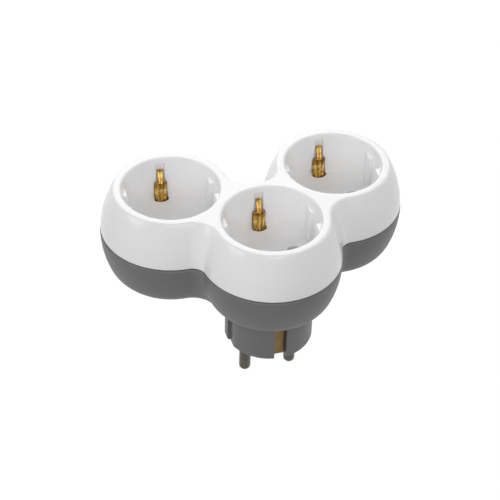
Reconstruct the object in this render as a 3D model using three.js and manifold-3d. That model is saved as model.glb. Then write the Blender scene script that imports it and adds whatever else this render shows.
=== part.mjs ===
// Triple socket adapter: one earthed round plug feeding three round recessed sockets.
// Millimetres, +Z up. The origin is the middle of the plug's face, the face that meets
// the floor of a wall socket. +X runs along the line of the two pins, and +Y points
// towards the two outer sockets, which stand on arms to the left and right.

import * as THREE from 'three';
import { mergeVertices } from 'three/addons/utils/BufferGeometryUtils.js';
import Module from 'manifold-3d';

const wasm = await Module();
wasm.setup();

// Plug and pins
const PIN_SPACING = 19;
const PIN_DIAMETER = 4.8;
const PIN_LENGTH = 19;
const PLUG_RADIUS = 17.9;
const PLUG_HEIGHT = 17.5;
const PLUG_FLAT = 16.3;
const PLUG_FACE_THICKNESS = 6;
const PLUG_EDGE_ROUND = 1.4;
const NOSE_WALL = 1.8;
const FIN_WIDTH = 4.2;
const FIN_LIFT = 0.4;
const FIN_END_ROUND = 1.5;
const PIN_TIP_FLAT = 0.3;
const PIN_COLLAR_RADIUS = 3.6;
const PIN_COLLAR_HEIGHT = 1;
const PIN_SHANK_RADIUS = 2;
const PIN_BOSS_WALL = 1.5;
const PIN_BOSS_STAND = 3;
const EARTH_SLOT_WIDTH = 5;
const EARTH_SLOT_DEPTH = 3.6;
const EARTH_SLOT_STOP = 1.2;
const EARTH_SLOT_CORNER = 1;

// Body: three round lobes joined by two arms, with a barrel side
const ARM_LENGTH = 43.65;
const ARM_ANGLE = 100.94;
const LOBE_RADIUS = 28.3;
const BODY_HEIGHT = 41.5;
const BARREL_RADIUS = 40;
const EQUATOR_HEIGHT = 21.5;
const PARTING_HEIGHT = 22.1;
const PARTING_GAP = 0.4;
const UNDER_ROUND = 11;
const EDGE_ROUND = 1.2;
const FRONT_FILLET_LEAN = 49.78;
const BACK_FILLET_LEAN = 46.66;
const WALL = 2.2;
const LIP_WIDTH = 0.9;
const LIP_HEIGHT = 1.6;
const RIM_BREAK = 0.35;
const BASE_RIM_BREAK = 0.6;

// Socket wells
const WELL_RIM_RADIUS = 19.6;
const WELL_LEAD_RADIUS = 18.95;
const WELL_FLOOR_RADIUS = 18.55;
const WELL_DEPTH = 18.3;
const WELL_RIM_ROUND = 0.8;
const WELL_FLOOR = 2;
const CUP_WALL = 1.8;
const GUIDE_FLAT = 16.7;
const GUIDE_DRAFT = 0.25;
const GUIDE_START = 3.6;
const GUIDE_GAP = 7;
const GUIDE_REACH = 12;
const PIN_HOLE_CLEARANCE = 0.35;

// Slots for the earth springs, measured from the top face
const SPRING_SLOT_TOP = 2.2;
const SPRING_SLOT_NECK = 8;
const SPRING_SLOT_SHOULDER = 11.5;
const SPRING_SLOT_NARROW = 3.7;
const SPRING_SLOT_BACK = 21;
const SPRING_POCKET_WALL = 1.2;

// Earth springs
const SPRING_THICKNESS = 0.6;
const SPRING_TOP = 5.5;
const SPRING_WIDTH = 5.4;
const SPRING_TONGUE_WIDTH = 2.4;
const SPRING_CAMBER = 1.3;
const SPRING_RIDGE = 0.3;
const SPRING_RIDGES = 3;
const SPRING_STEM_RADIUS = 15;
const SPRING_CREST_RADIUS = 16.4;
const SPRING_CREST_HEIGHT = 7.6;
const SPRING_TIP_RADIUS = 19.2;
const SPRING_FOOT_RADIUS = 17;
// Bends up the pad: share of its height, way out from the crest's radius, share of the camber
const SPRING_BENDS = [[0.2, -1, 0.6], [0.45, 0, 1], [0.8, 0, 1], [1, 0.25, 1]];
const SPRING_NECK_OUT = 0.5;
const SPRING_TONGUE_CAMBER = 0.1;

// Brass inside
const BAR_THICKNESS = 0.8;
const BAR_WIDTH = 5.6;
const BAR_PAD_RADIUS = 4.2;
const BAR_STANDOFF = 0.5;
const BAR_POST_RADIUS = 3.2;
const BRIDGE_LIFT = 3.6;
const BRIDGE_CLEARANCE = 2;
const CLIP_THICKNESS = 0.6;
const CLIP_WIDTH = 5;
const CLIP_SPREAD = 3.1;
const CLIP_PINCH = 2.2;
const CLIP_FLARE = 2.9;
const CLIP_PINCH_DEPTH = 3;
const CLIP_BELOW_PLATE_TOP = 0.4;
const RIVET_RADIUS = 1.5;
const RIVET_HEAD_RADIUS = 2.4;
const RIVET_HEAD_HEIGHT = 0.5;
const RIVET_HEAD_TAPER = 0.5;
const STRAP_THICKNESS = 1;
const STRAP_WIDTH = 6;
const STRAP_CROSS_Y = 11;
const PLUG_EARTH_THICKNESS = 0.8;
const PLUG_EARTH_START = 1;

// Insulating plate, bosses and screws
const PLATE_THICKNESS = 2;
const PLATE_WINDOW_RADIUS = 4.6;
const BOSS_RADIUS = 4.5;
const COVER_BOSS_RADIUS = 3.2;
const BOSS_OFFSET_X = 8.5;
const BOSS_OFFSET_Y = 11.5;
const SCREW_RADIUS = 1.45;
const SCREW_HEAD_RADIUS = 2.7;
const SCREW_HEAD_HEIGHT = 1.9;
const SCREW_HEAD_CHAMFER = 0.7;
const SCREW_POINT = 0.8;
const SCREW_RECESS_DEPTH = 10;
const SCREW_BITE = 3.8;
const CROSS_WIDTH = 0.7;
const CROSS_SPAN = 3;
const CROSS_DEPTH = 1;

// Room left between two pieces that fit together
const FIT = 0.3;
// How far a cutting shape runs past what it cuts
const PAST = 1;

// Facets
const ARC_STEP = THREE.MathUtils.degToRad(14);
const WELL_SEGMENTS = 36;
const PIN_SEGMENTS = 16;
const SMALL_SEGMENTS = 12;
const ROUND_STEPS = 3;
// Corners closer than this are one corner
const WELD = 1e-4;

// Heights above the plug's face
const bodyBottom = PLUG_HEIGHT;
const bodyTop = PLUG_HEIGHT + BODY_HEIGHT;
const equator = bodyBottom + EQUATOR_HEIGHT;
const parting = bodyBottom + PARTING_HEIGHT;
const coverBottom = parting + PARTING_GAP;
const lipTop = parting + LIP_HEIGHT;
const baseFloor = bodyBottom + WALL;
const wellFloor = bodyTop - WELL_DEPTH;
const cupBottom = wellFloor - WELL_FLOOR;
const strapBottom = cupBottom - STRAP_THICKNESS;
const plateBottom = strapBottom - PLATE_THICKNESS;
const barBottom = baseFloor + BAR_STANDOFF;
const barTop = barBottom + BAR_THICKNESS;
const clipBaseTop = barTop + CLIP_THICKNESS;
const pinBossTop = PLUG_FACE_THICKNESS + PIN_BOSS_STAND;
const screwSeat = bodyBottom + SCREW_RECESS_DEPTH;

// Plan positions
const halfPins = PIN_SPACING / 2;
const armTurn = THREE.MathUtils.degToRad(ARM_ANGLE / 2);
const middleLobe = new THREE.Vector2(0, 0);
const rightLobe = new THREE.Vector2(Math.sin(armTurn), Math.cos(armTurn)).multiplyScalar(ARM_LENGTH);
const leftLobe = new THREE.Vector2(-rightLobe.x, rightLobe.y);
const lobes = { left: leftLobe, middle: middleLobe, right: rightLobe };
const earthSlotFloor = PLUG_RADIUS - EARTH_SLOT_DEPTH;
const noseCavityRadius = PLUG_FLAT - NOSE_WALL;
const springSlotWidth = SPRING_WIDTH + 2 * FIT;
const at = (x, y) => new THREE.Vector2(x, y);
const fromLobe = (lobe, x, y) => at(lobe.x + x, lobe.y + y);

const finishes = {
  white: new THREE.MeshStandardMaterial({ color: '#f3f3f4', roughness: 0.2 }),
  grey: new THREE.MeshStandardMaterial({ color: '#6b6b6d', roughness: 0.5 }),
  cream: new THREE.MeshStandardMaterial({ color: '#d9d2bd', roughness: 0.7 }),
  brass: new THREE.MeshStandardMaterial({ color: '#b8863a', roughness: 0.3, metalness: 1 }),
  nickel: new THREE.MeshStandardMaterial({ color: '#8d8980', roughness: 0.3, metalness: 1 }),
  steel: new THREE.MeshStandardMaterial({ color: '#9a9a9a', roughness: 0.35, metalness: 1 }),
};

const adapter = new THREE.Group();

// Turns a closed geometry into a solid that can be cut and joined
function solid(geometry) {
  const bare = new THREE.BufferGeometry();
  bare.setAttribute('position', geometry.attributes.position.clone());
  if (geometry.index) bare.setIndex(geometry.index.clone());
  const merged = mergeVertices(bare, WELD);
  const positions = merged.attributes.position.array;
  const corner = (index) => new THREE.Vector3().fromArray(positions, 3 * index);
  const triangles = [];
  let volume = 0;
  for (let i = 0; i < merged.index.count; i += 3) {
    const [a, b, c] = [0, 1, 2].map((offset) => merged.index.getX(i + offset));
    if (a === b || b === c || c === a) continue;
    triangles.push([a, b, c]);
    volume += corner(a).dot(corner(b).cross(corner(c)));
  }
  const outward = volume > 0 ? triangles : triangles.map(([a, b, c]) => [a, c, b]);
  return new wasm.Manifold(new wasm.Mesh({
    numProp: 3,
    vertProperties: new Float32Array(positions),
    triVerts: new Uint32Array(outward.flat()),
  }));
}

function join(shapes) {
  return shapes.reduce((whole, shape) => whole.add(shape));
}

function cut(whole, shapes) {
  return shapes.reduce((rest, shape) => rest.subtract(shape), whole);
}

function addPiece(name, shape, finish) {
  const { vertProperties, triVerts } = shape.getMesh();
  const geometry = new THREE.BufferGeometry();
  geometry.setAttribute('position', new THREE.BufferAttribute(vertProperties, 3));
  geometry.setIndex(new THREE.BufferAttribute(triVerts, 1));
  geometry.computeVertexNormals();
  const piece = new THREE.Mesh(geometry, finish);
  piece.name = name;
  adapter.add(piece);
}

// A turned shape about the Z axis, from [radius, height] pairs that start and end on it
function turned(profile, segments, place = middleLobe) {
  const points = profile.map(([radius, height]) => new THREE.Vector2(radius, height));
  const geometry = new THREE.LatheGeometry(points, segments);
  return solid(geometry.rotateX(Math.PI / 2).translate(place.x, place.y, 0));
}

function rod(radius, low, high, place, segments = SMALL_SEGMENTS) {
  return turned([[0, low], [radius, low], [radius, high], [0, high]], segments, place);
}

// A box between two values along each axis, given in either order
function block([xFrom, xTo], [yFrom, yTo], [zFrom, zTo]) {
  const spans = [xTo - xFrom, yTo - yFrom, zTo - zFrom].map(Math.abs);
  return solid(new THREE.BoxGeometry(...spans)
    .translate((xFrom + xTo) / 2, (yFrom + yTo) / 2, (zFrom + zTo) / 2));
}

const evenly = (from, to, steps) => (
  Array.from({ length: steps + 1 }, (_, i) => from + (to - from) * i / steps)
);

function slab(shape, low, high) {
  const settings = { depth: high - low, bevelEnabled: false, curveSegments: SMALL_SEGMENTS };
  return solid(new THREE.ExtrudeGeometry(shape, settings).translate(0, 0, low));
}

// A shape drawn in the plane of one flat direction and Z, given thickness across it
function standing(points, thickness, alongX) {
  const shape = new THREE.Shape(points.map(([across, height]) => new THREE.Vector2(across, height)));
  const geometry = new THREE.ExtrudeGeometry(shape, { depth: thickness, bevelEnabled: false });
  geometry.translate(0, 0, -thickness / 2);
  const up = new THREE.Vector3(0, 0, 1);
  const across = alongX ? new THREE.Vector3(1, 0, 0) : new THREE.Vector3(0, 1, 0);
  const through = new THREE.Vector3().crossVectors(across, up);
  return solid(geometry.applyMatrix4(new THREE.Matrix4().makeBasis(across, up, through)));
}

// The outline of a strip bent along a path, its thickness laid on the path's left side
function stripOutline(path, thickness) {
  const points = path.map(([across, height]) => new THREE.Vector2(across, height));
  const sides = points.slice(1).map((point, i) => {
    const along = new THREE.Vector2().subVectors(point, points[i]).normalize();
    return new THREE.Vector2(-along.y, along.x);
  });
  const offset = points.map((point, i) => {
    const before = sides[Math.max(i - 1, 0)];
    const after = sides[Math.min(i, sides.length - 1)];
    const mitre = new THREE.Vector2().addVectors(before, after).normalize();
    return point.clone().addScaledVector(mitre, thickness / mitre.dot(after));
  });
  return [...points, ...offset.reverse()].map((point) => [point.x, point.y]);
}

// Body outline: a fillet rounds each corner between two lobes. Its lean is the angle at a
// lobe's centre between the arm and the line to the fillet's centre.

const frontLean = THREE.MathUtils.degToRad(FRONT_FILLET_LEAN);
const backLean = THREE.MathUtils.degToRad(BACK_FILLET_LEAN);
const filletRadius = (lean) => ARM_LENGTH / 2 / Math.cos(lean) - LOBE_RADIUS;
const frontFillet = filletRadius(frontLean);
const backFillet = filletRadius(backLean);

function filletCentre(lobe, lean) {
  const turn = Math.sign(lobe.x) * lean;
  return lobe.clone().multiplyScalar(0.5 / Math.cos(lean)).rotateAround(middleLobe, turn);
}

const frontRight = filletCentre(rightLobe, -frontLean);
const frontLeft = filletCentre(leftLobe, -frontLean);
const backRight = filletCentre(rightLobe, backLean);
const backLeft = filletCentre(leftLobe, backLean);

// One arc of the outline, from the side of one neighbouring centre to that of the next
function outlineArc(centre, before, after, fillet) {
  const from = before.clone().sub(centre).angle();
  let sweep = after.clone().sub(centre).angle() - from;
  if (fillet === 0 && sweep < 0) sweep += 2 * Math.PI;
  if (fillet > 0 && sweep > 0) sweep -= 2 * Math.PI;
  return { centre, from, sweep, fillet, steps: Math.max(2, Math.ceil(Math.abs(sweep) / ARC_STEP)) };
}

const outlineArcs = [
  outlineArc(middleLobe, frontLeft, frontRight, 0),
  outlineArc(frontRight, middleLobe, rightLobe, frontFillet),
  outlineArc(rightLobe, frontRight, backRight, 0),
  outlineArc(backRight, rightLobe, middleLobe, backFillet),
  outlineArc(middleLobe, backRight, backLeft, 0),
  outlineArc(backLeft, middleLobe, leftLobe, backFillet),
  outlineArc(leftLobe, backLeft, frontLeft, 0),
  outlineArc(frontLeft, leftLobe, middleLobe, frontFillet),
];

// The body's outline where each lobe has the given radius
function outline(lobeRadius) {
  const drop = LOBE_RADIUS - lobeRadius;
  return outlineArcs.flatMap(({ centre, from, sweep, fillet, steps }) => {
    const radius = fillet > 0 ? fillet + drop : lobeRadius;
    return Array.from({ length: steps }, (_, i) => {
      const angle = from + sweep * i / steps;
      return new THREE.Vector2(Math.cos(angle), Math.sin(angle)).multiplyScalar(radius).add(centre);
    });
  });
}

// Radius of a lobe's skin at a height, or of a surface set in from the skin
const barrelCentre = LOBE_RADIUS - BARREL_RADIUS;
const cornerRadiusAt = (round, height) => {
  const reach = BARREL_RADIUS - round;
  return barrelCentre + Math.sqrt(reach ** 2 - (height - equator) ** 2);
};
const underCentre = { height: bodyBottom + UNDER_ROUND, round: UNDER_ROUND };
const edgeCentre = { height: bodyTop - EDGE_ROUND, round: EDGE_ROUND };
for (const corner of [underCentre, edgeCentre]) {
  corner.radius = cornerRadiusAt(corner.round, corner.height);
  corner.slope = Math.atan2(corner.height - equator, corner.radius - barrelCentre);
}

function skinRadius(height, inset = 0) {
  const side = BARREL_RADIUS - inset;
  const arc = (corner) => corner.radius
    + Math.sqrt(Math.max(0, (corner.round - inset) ** 2 - (height - corner.height) ** 2));
  if (height < equator + side * Math.sin(underCentre.slope)) return arc(underCentre);
  const edgeBegins = equator + side * Math.sin(edgeCentre.slope);
  if (inset < EDGE_ROUND && height > edgeBegins) return arc(edgeCentre);
  return barrelCentre + Math.sqrt(side ** 2 - (height - equator) ** 2);
}

// A solid through the body's outline at each [height, inset] pair
function bodySolid(levels) {
  const rings = levels.map(([height, inset]) => ({ height, points: outline(skinRadius(height, inset)) }));
  const count = rings[0].points.length;
  const positions = rings.flatMap(({ height, points }) => points.flatMap(({ x, y }) => [x, y, height]));
  const index = [];
  for (let ring = 0; ring < rings.length - 1; ring += 1) {
    for (let i = 0; i < count; i += 1) {
      const a = ring * count + i;
      const b = ring * count + (i + 1) % count;
      index.push(a, b, b + count, a, b + count, a + count);
    }
  }
  const lid = THREE.ShapeUtils.triangulateShape(rings[0].points, []);
  const top = (rings.length - 1) * count;
  for (const [a, b, c] of lid) {
    index.push(a, c, b);
    index.push(top + a, top + b, top + c);
  }
  const geometry = new THREE.BufferGeometry();
  geometry.setAttribute('position', new THREE.Float32BufferAttribute(positions, 3));
  geometry.setIndex(index);
  return solid(geometry);
}

// Heights up the rounded lower corner of the skin, or of a surface set in from it
function underHeights(inset, steps) {
  const round = UNDER_ROUND - inset;
  const angles = evenly(-Math.PI / 2, underCentre.slope, steps);
  return angles.map((angle) => underCentre.height + round * Math.sin(angle));
}

const bosses = [leftLobe, rightLobe].flatMap((lobe) => {
  const outer = Math.sign(lobe.x);
  return [
    fromLobe(lobe, outer * BOSS_OFFSET_X, -BOSS_OFFSET_Y),
    fromLobe(lobe, -outer * BOSS_OFFSET_X, BOSS_OFFSET_Y),
  ];
});
const bossNames = ['left_front', 'left_back', 'right_front', 'right_back'];
const pinPlaces = [at(-halfPins, 0), at(halfPins, 0)];

// Top cover: white shell whose three wells hang from the top as cups

function wellShape(lobe) {
  const guideTop = bodyTop - GUIDE_START;
  const mouth = WELL_RIM_RADIUS + WELL_RIM_ROUND;
  const roundings = evenly(0, Math.PI / 2, ROUND_STEPS).map((angle) => [
    mouth - WELL_RIM_ROUND * Math.cos(angle),
    bodyTop - WELL_RIM_ROUND * (1 - Math.sin(angle)),
  ]);
  const bowl = turned([
    [0, wellFloor],
    [WELL_FLOOR_RADIUS, wellFloor],
    [WELL_LEAD_RADIUS, guideTop],
    ...roundings,
    [mouth, bodyTop + PAST],
    [0, bodyTop + PAST],
  ], WELL_SEGMENTS);
  const guides = [1, -1].flatMap((side) => [1, -1].map((end) => {
    const profile = [
      [side * (GUIDE_FLAT - GUIDE_DRAFT), wellFloor - PAST],
      [side * (mouth + PAST), wellFloor - PAST],
      [side * (mouth + PAST), guideTop],
      [side * GUIDE_FLAT, guideTop],
    ];
    const groove = GUIDE_GAP / 2;
    const middle = end * (groove + GUIDE_REACH) / 2;
    return standing(profile, GUIDE_REACH - groove, true).translate(0, middle, 0);
  }));
  return cut(bowl, guides).translate(lobe.x, lobe.y, 0);
}

// Pockets in a well's wall for the tops of its earth springs, and slots in its floor
function springSlots(lobe) {
  const narrow = SPRING_SLOT_NARROW / 2;
  const wide = springSlotWidth / 2;
  const front = [
    [-narrow, bodyTop - SPRING_SLOT_TOP],
    [narrow, bodyTop - SPRING_SLOT_TOP],
    [narrow, bodyTop - SPRING_SLOT_NECK],
    [wide, bodyTop - SPRING_SLOT_SHOULDER],
    [wide, wellFloor],
    [-wide, wellFloor],
    [-wide, bodyTop - SPRING_SLOT_SHOULDER],
    [-narrow, bodyTop - SPRING_SLOT_NECK],
  ];
  const depth = SPRING_SLOT_BACK - GUIDE_FLAT;
  const radius = (SPRING_SLOT_BACK + GUIDE_FLAT) / 2;
  const floorReach = [SPRING_STEM_RADIUS - 2 * FIT, SPRING_FOOT_RADIUS + 2 * FIT];
  return [1, -1].flatMap((end) => [
    standing(front, depth, true).translate(lobe.x, lobe.y + end * radius, 0),
    block([-wide, wide], floorReach.map((y) => end * y), [cupBottom - PAST, wellFloor + PAST])
      .translate(lobe.x, lobe.y, 0),
  ]);
}

// The walls that close the spring pockets off from the inside of the case
function springPockets(lobe) {
  const half = springSlotWidth / 2 + SPRING_POCKET_WALL;
  const outside = SPRING_SLOT_BACK + SPRING_POCKET_WALL;
  return [1, -1].map((end) => (
    block([-half, half], [end * WELL_FLOOR_RADIUS, end * outside], [cupBottom, bodyTop - WALL / 2])
      .translate(lobe.x, lobe.y, 0)
  ));
}

function makeTopCover() {
  const sideBegins = coverBottom + RIM_BREAK;
  const edgeBegins = equator + BARREL_RADIUS * Math.sin(edgeCentre.slope);
  const edgeAngles = evenly(edgeCentre.slope, Math.PI / 2, ROUND_STEPS);
  const skin = bodySolid([
    [coverBottom, RIM_BREAK],
    [sideBegins, 0],
    ...evenly(sideBegins, edgeBegins, 4).slice(1, -1).map((height) => [height, 0]),
    ...edgeAngles.map((angle) => [edgeCentre.height + EDGE_ROUND * Math.sin(angle), 0]),
  ]);
  const hollowHeights = evenly(coverBottom - PAST, bodyTop - WALL, 2);
  const hollow = bodySolid(hollowHeights.map((height) => [height, WALL]));
  const rabbet = bodySolid([[coverBottom - PAST, LIP_WIDTH], [lipTop, LIP_WIDTH]]);
  const wells = Object.values(lobes);
  const cups = wells.map((lobe) => turned([
    [0, cupBottom],
    [WELL_FLOOR_RADIUS + CUP_WALL, cupBottom],
    [WELL_RIM_RADIUS + CUP_WALL, bodyTop - WALL / 2],
    [0, bodyTop - WALL / 2],
  ], WELL_SEGMENTS, lobe));
  const pockets = wells.flatMap(springPockets);
  const screwBosses = bosses.map((place) => rod(COVER_BOSS_RADIUS, plateBottom, wellFloor, place));
  const solidCover = join([cut(skin, [hollow, rabbet]), ...cups, ...pockets, ...screwBosses]);
  const pinHole = PIN_DIAMETER / 2 + PIN_HOLE_CLEARANCE;
  const pinHoles = wells.flatMap((lobe) => [-1, 1].map((side) => (
    rod(pinHole, cupBottom - PAST, wellFloor + PAST, fromLobe(lobe, side * halfPins, 0), PIN_SEGMENTS)
  )));
  const screwHoles = bosses.map((place) => (
    rod(SCREW_RADIUS + FIT, plateBottom - PAST, plateBottom + SCREW_BITE + FIT, place)
  ));
  return cut(solidCover, [
    ...wells.map(wellShape),
    ...wells.flatMap(springSlots),
    ...pinHoles,
    ...screwHoles,
  ]);
}

addPiece('top_cover', makeTopCover(), finishes.white);

// Base shell: grey bowl and plug nose in one moulding

function makeNose() {
  const rounding = evenly(0, Math.PI / 2, ROUND_STEPS).map((angle) => [
    PLUG_RADIUS - PLUG_EDGE_ROUND * (1 - Math.sin(angle)),
    PLUG_EDGE_ROUND * (1 - Math.cos(angle)),
  ]);
  const top = bodyBottom + WALL / 2;
  const far = PLUG_RADIUS + PAST;
  const round = turned([[0, 0], ...rounding, [PLUG_RADIUS, top], [0, top]], WELL_SEGMENTS);
  const flatCuts = [1, -1].flatMap((side) => [1, -1].map((end) => (
    block([side * PLUG_FLAT, side * far], [end * FIN_WIDTH / 2, end * far], [-PAST, bodyBottom])
  )));
  const finEnd = evenly(0, Math.PI / 2, ROUND_STEPS).map((angle) => [
    PLUG_RADIUS - FIN_END_ROUND * (1 - Math.sin(angle)),
    FIN_LIFT + FIN_END_ROUND * (1 - Math.cos(angle)),
  ]);
  const finCuts = [1, -1].map((side) => standing([
    [PLUG_FLAT, -PAST],
    [PLUG_FLAT, FIN_LIFT],
    ...finEnd,
    [far, FIN_LIFT + FIN_END_ROUND],
    [far, -PAST],
  ].map(([across, height]) => [side * across, height]), FIN_WIDTH + 2 * PAST, true));
  const half = EARTH_SLOT_WIDTH / 2;
  const corner = evenly(0, Math.PI / 2, ROUND_STEPS).map((angle) => [
    half + EARTH_SLOT_CORNER * (1 - Math.sin(angle)),
    EARTH_SLOT_CORNER * (1 - Math.cos(angle)),
  ]);
  const rightSide = [[half + EARTH_SLOT_CORNER, -PAST], ...corner, [half, bodyBottom - EARTH_SLOT_STOP]];
  const leftSide = rightSide.map(([across, height]) => [-across, height]).reverse();
  const slotReach = (earthSlotFloor + far) / 2;
  const earthSlots = [1, -1].map((end) => (
    standing([...rightSide, ...leftSide], far - earthSlotFloor, true).translate(0, end * slotReach, 0)
  ));
  return cut(round, [...flatCuts, ...finCuts, ...earthSlots]);
}

function makeBaseShell() {
  const sideHeights = evenly(underHeights(0, 1)[1], parting - BASE_RIM_BREAK, 3).slice(1);
  const skin = bodySolid([
    ...underHeights(0, 5).map((height) => [height, 0]),
    ...sideHeights.map((height) => [height, 0]),
    [parting, BASE_RIM_BREAK],
  ]);
  const lipInset = LIP_WIDTH + FIT;
  const lip = bodySolid([[parting - PAST, lipInset], [lipTop, lipInset]]);
  const insideHeights = evenly(underHeights(WALL, 1)[1], lipTop + PAST, 2).slice(1);
  const hollow = bodySolid([...underHeights(WALL, 3), ...insideHeights].map((height) => [height, WALL]));
  const slotHalf = EARTH_SLOT_WIDTH / 2;
  const backHalf = slotHalf + NOSE_WALL;
  const slotBacks = [1, -1].map((end) => block(
    [-backHalf, backHalf],
    [end * (earthSlotFloor - NOSE_WALL), end * PLUG_RADIUS],
    [PLUG_FACE_THICKNESS, baseFloor],
  ));
  const cavity = rod(noseCavityRadius, PLUG_FACE_THICKNESS, baseFloor + PAST, middleLobe, WELL_SEGMENTS);
  const outside = join([skin, lip, makeNose()]);
  const ground = bodyBottom + WALL / 2;
  const pinBossRadius = PIN_DIAMETER / 2 + FIT + PIN_BOSS_WALL;
  const pinBosses = pinPlaces.map((place) => rod(pinBossRadius, 0, pinBossTop, place));
  const barPosts = [leftLobe, rightLobe].flatMap((lobe) => [-1, 1].map((side) => (
    rod(BAR_POST_RADIUS, ground, barBottom, fromLobe(lobe, side * halfPins, 0))
  )));
  const screwBosses = bosses.map((place) => rod(BOSS_RADIUS, ground, plateBottom, place));
  const shell = join([
    cut(outside, [hollow, cut(cavity, slotBacks)]),
    ...pinBosses,
    ...barPosts,
    ...screwBosses,
  ]);
  const pinBores = pinPlaces.map((place) => (
    rod(PIN_DIAMETER / 2 + FIT, -PAST, pinBossTop + PAST, place, PIN_SEGMENTS)
  ));
  const recessRadius = SCREW_HEAD_RADIUS + 2 * FIT;
  const screwRecesses = bosses.map((place) => rod(recessRadius, bodyBottom - PAST, screwSeat, place));
  const screwHoles = bosses.map((place) => (
    rod(SCREW_RADIUS + FIT, screwSeat - PAST, plateBottom + PAST, place)
  ));
  const earthPassages = [1, -1].map((end) => block(
    [-slotHalf, slotHalf],
    [end * earthSlotFloor, end * (earthSlotFloor + PLUG_EARTH_THICKNESS + FIT)],
    [bodyBottom - 2 * EARTH_SLOT_STOP, baseFloor + PAST],
  ));
  return cut(shell, [...pinBores, ...screwRecesses, ...screwHoles, ...earthPassages]);
}

addPiece('base_shell', makeBaseShell(), finishes.grey);

// Plug pins: turned rods with a collar behind the plug's face and a riveted tail

function makePin(place) {
  const radius = PIN_DIAMETER / 2;
  const tipRound = radius - PIN_TIP_FLAT;
  const tip = evenly(0, Math.PI / 2, ROUND_STEPS + 1).map((angle) => [
    radius - tipRound * (1 - Math.sin(angle)),
    -PIN_LENGTH + tipRound * (1 - Math.cos(angle)),
  ]);
  const collarTop = pinBossTop + PIN_COLLAR_HEIGHT;
  const headTop = clipBaseTop + RIVET_HEAD_HEIGHT;
  return turned([
    [0, -PIN_LENGTH],
    ...tip,
    [radius, pinBossTop],
    [PIN_COLLAR_RADIUS, pinBossTop],
    [PIN_COLLAR_RADIUS, collarTop],
    [PIN_SHANK_RADIUS, collarTop],
    [PIN_SHANK_RADIUS, barBottom],
    [RIVET_RADIUS, barBottom],
    [RIVET_RADIUS, clipBaseTop],
    [RIVET_HEAD_RADIUS, clipBaseTop],
    [RIVET_HEAD_RADIUS - RIVET_HEAD_TAPER, headTop],
    [0, headTop],
  ], PIN_SEGMENTS, place);
}

addPiece('plug_pin_left', makePin(pinPlaces[0]), finishes.nickel);
addPiece('plug_pin_right', makePin(pinPlaces[1]), finishes.nickel);

// Pole bars: two stamped brass strips that join like poles of the plug and the sockets

// A strip along the line between two places, from one distance along it to another
function armStrip(from, to, [startAt, endAt], heights) {
  const turn = THREE.MathUtils.radToDeg(to.clone().sub(from).angle());
  return block([startAt, endAt], [-BAR_WIDTH / 2, BAR_WIDTH / 2], heights)
    .rotate([0, 0, turn])
    .translate(from.x, from.y, 0);
}

const poles = (side) => [leftLobe, middleLobe, rightLobe].map((lobe) => fromLobe(lobe, side * halfPins, 0));
const barPad = (place) => rod(BAR_PAD_RADIUS, barBottom, barTop, place);
const rivetHole = (place) => rod(RIVET_RADIUS + FIT, barBottom - PAST, barTop + PAST, place);

function makeLeftBar() {
  const [outer, middle, inner] = poles(-1);
  const arms = [outer, inner].map((end) => armStrip(middle, end, [0, ARM_LENGTH], [barBottom, barTop]));
  const pads = [outer, middle, inner].map(barPad);
  return cut(join([...pads, ...arms]), [outer, middle, inner].map(rivetHole));
}

// The right bar steps up over the left one where the two cross
function makeRightBar() {
  const [inner, middle, outer] = poles(1);
  const crossing = halfPins / Math.sin(armTurn);
  const half = BAR_WIDTH / 2;
  const bevel = half / Math.abs(Math.tan(2 * armTurn));
  const clear = (half + BRIDGE_CLEARANCE) / Math.sin(2 * armTurn) + bevel + BAR_THICKNESS;
  const [stepUp, stepDown] = [crossing - clear, crossing + clear];
  const bridge = [
    armStrip(middle, inner, [stepUp, stepDown], [barBottom + BRIDGE_LIFT, barTop + BRIDGE_LIFT]),
    armStrip(middle, inner, [stepUp, stepUp + BAR_THICKNESS], [barBottom, barTop + BRIDGE_LIFT]),
    armStrip(middle, inner, [stepDown - BAR_THICKNESS, stepDown], [barBottom, barTop + BRIDGE_LIFT]),
  ];
  const arms = [
    armStrip(middle, inner, [0, stepUp + BAR_THICKNESS], [barBottom, barTop]),
    armStrip(middle, inner, [stepDown - BAR_THICKNESS, ARM_LENGTH], [barBottom, barTop]),
    armStrip(middle, outer, [0, ARM_LENGTH], [barBottom, barTop]),
  ];
  const pads = [inner, middle, outer].map(barPad);
  return cut(join([...pads, ...arms, ...bridge]), [inner, middle, outer].map(rivetHole));
}

addPiece('left_pole_bar', makeLeftBar(), finishes.brass);
addPiece('right_pole_bar', makeRightBar(), finishes.brass);

// Pin clips: sprung brass forks under each pin hole, riveted to the bars

function makeClip(place, ownRivet) {
  const top = strapBottom - CLIP_BELOW_PLATE_TOP;
  const pinchHeight = top - CLIP_PINCH_DEPTH;
  const springHeight = (pinchHeight + barTop) / 2;
  const leg = [
    [CLIP_FLARE, top],
    [CLIP_PINCH, pinchHeight],
    [CLIP_SPREAD, springHeight],
    [CLIP_SPREAD, barTop],
  ];
  const mirrored = leg.map(([across, height]) => [-across, height]).reverse();
  const fork = standing(stripOutline([...leg, ...mirrored], -CLIP_THICKNESS), CLIP_WIDTH, false);
  const placed = fork.translate(place.x, place.y, 0);
  if (ownRivet) return placed.add(rod(RIVET_RADIUS, barBottom, clipBaseTop, place));
  return placed.subtract(rod(RIVET_RADIUS + FIT, barBottom, clipBaseTop + PAST, place));
}

for (const [name, lobe] of Object.entries(lobes)) {
  for (const [side, pole] of [[-1, 'left'], [1, 'right']]) {
    const place = fromLobe(lobe, side * halfPins, 0);
    addPiece(`${name}_socket_${pole}_clip`, makeClip(place, lobe !== middleLobe), finishes.brass);
  }
}

// Earth strap: one flat brass part under the cups that ties every earth spring together

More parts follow.
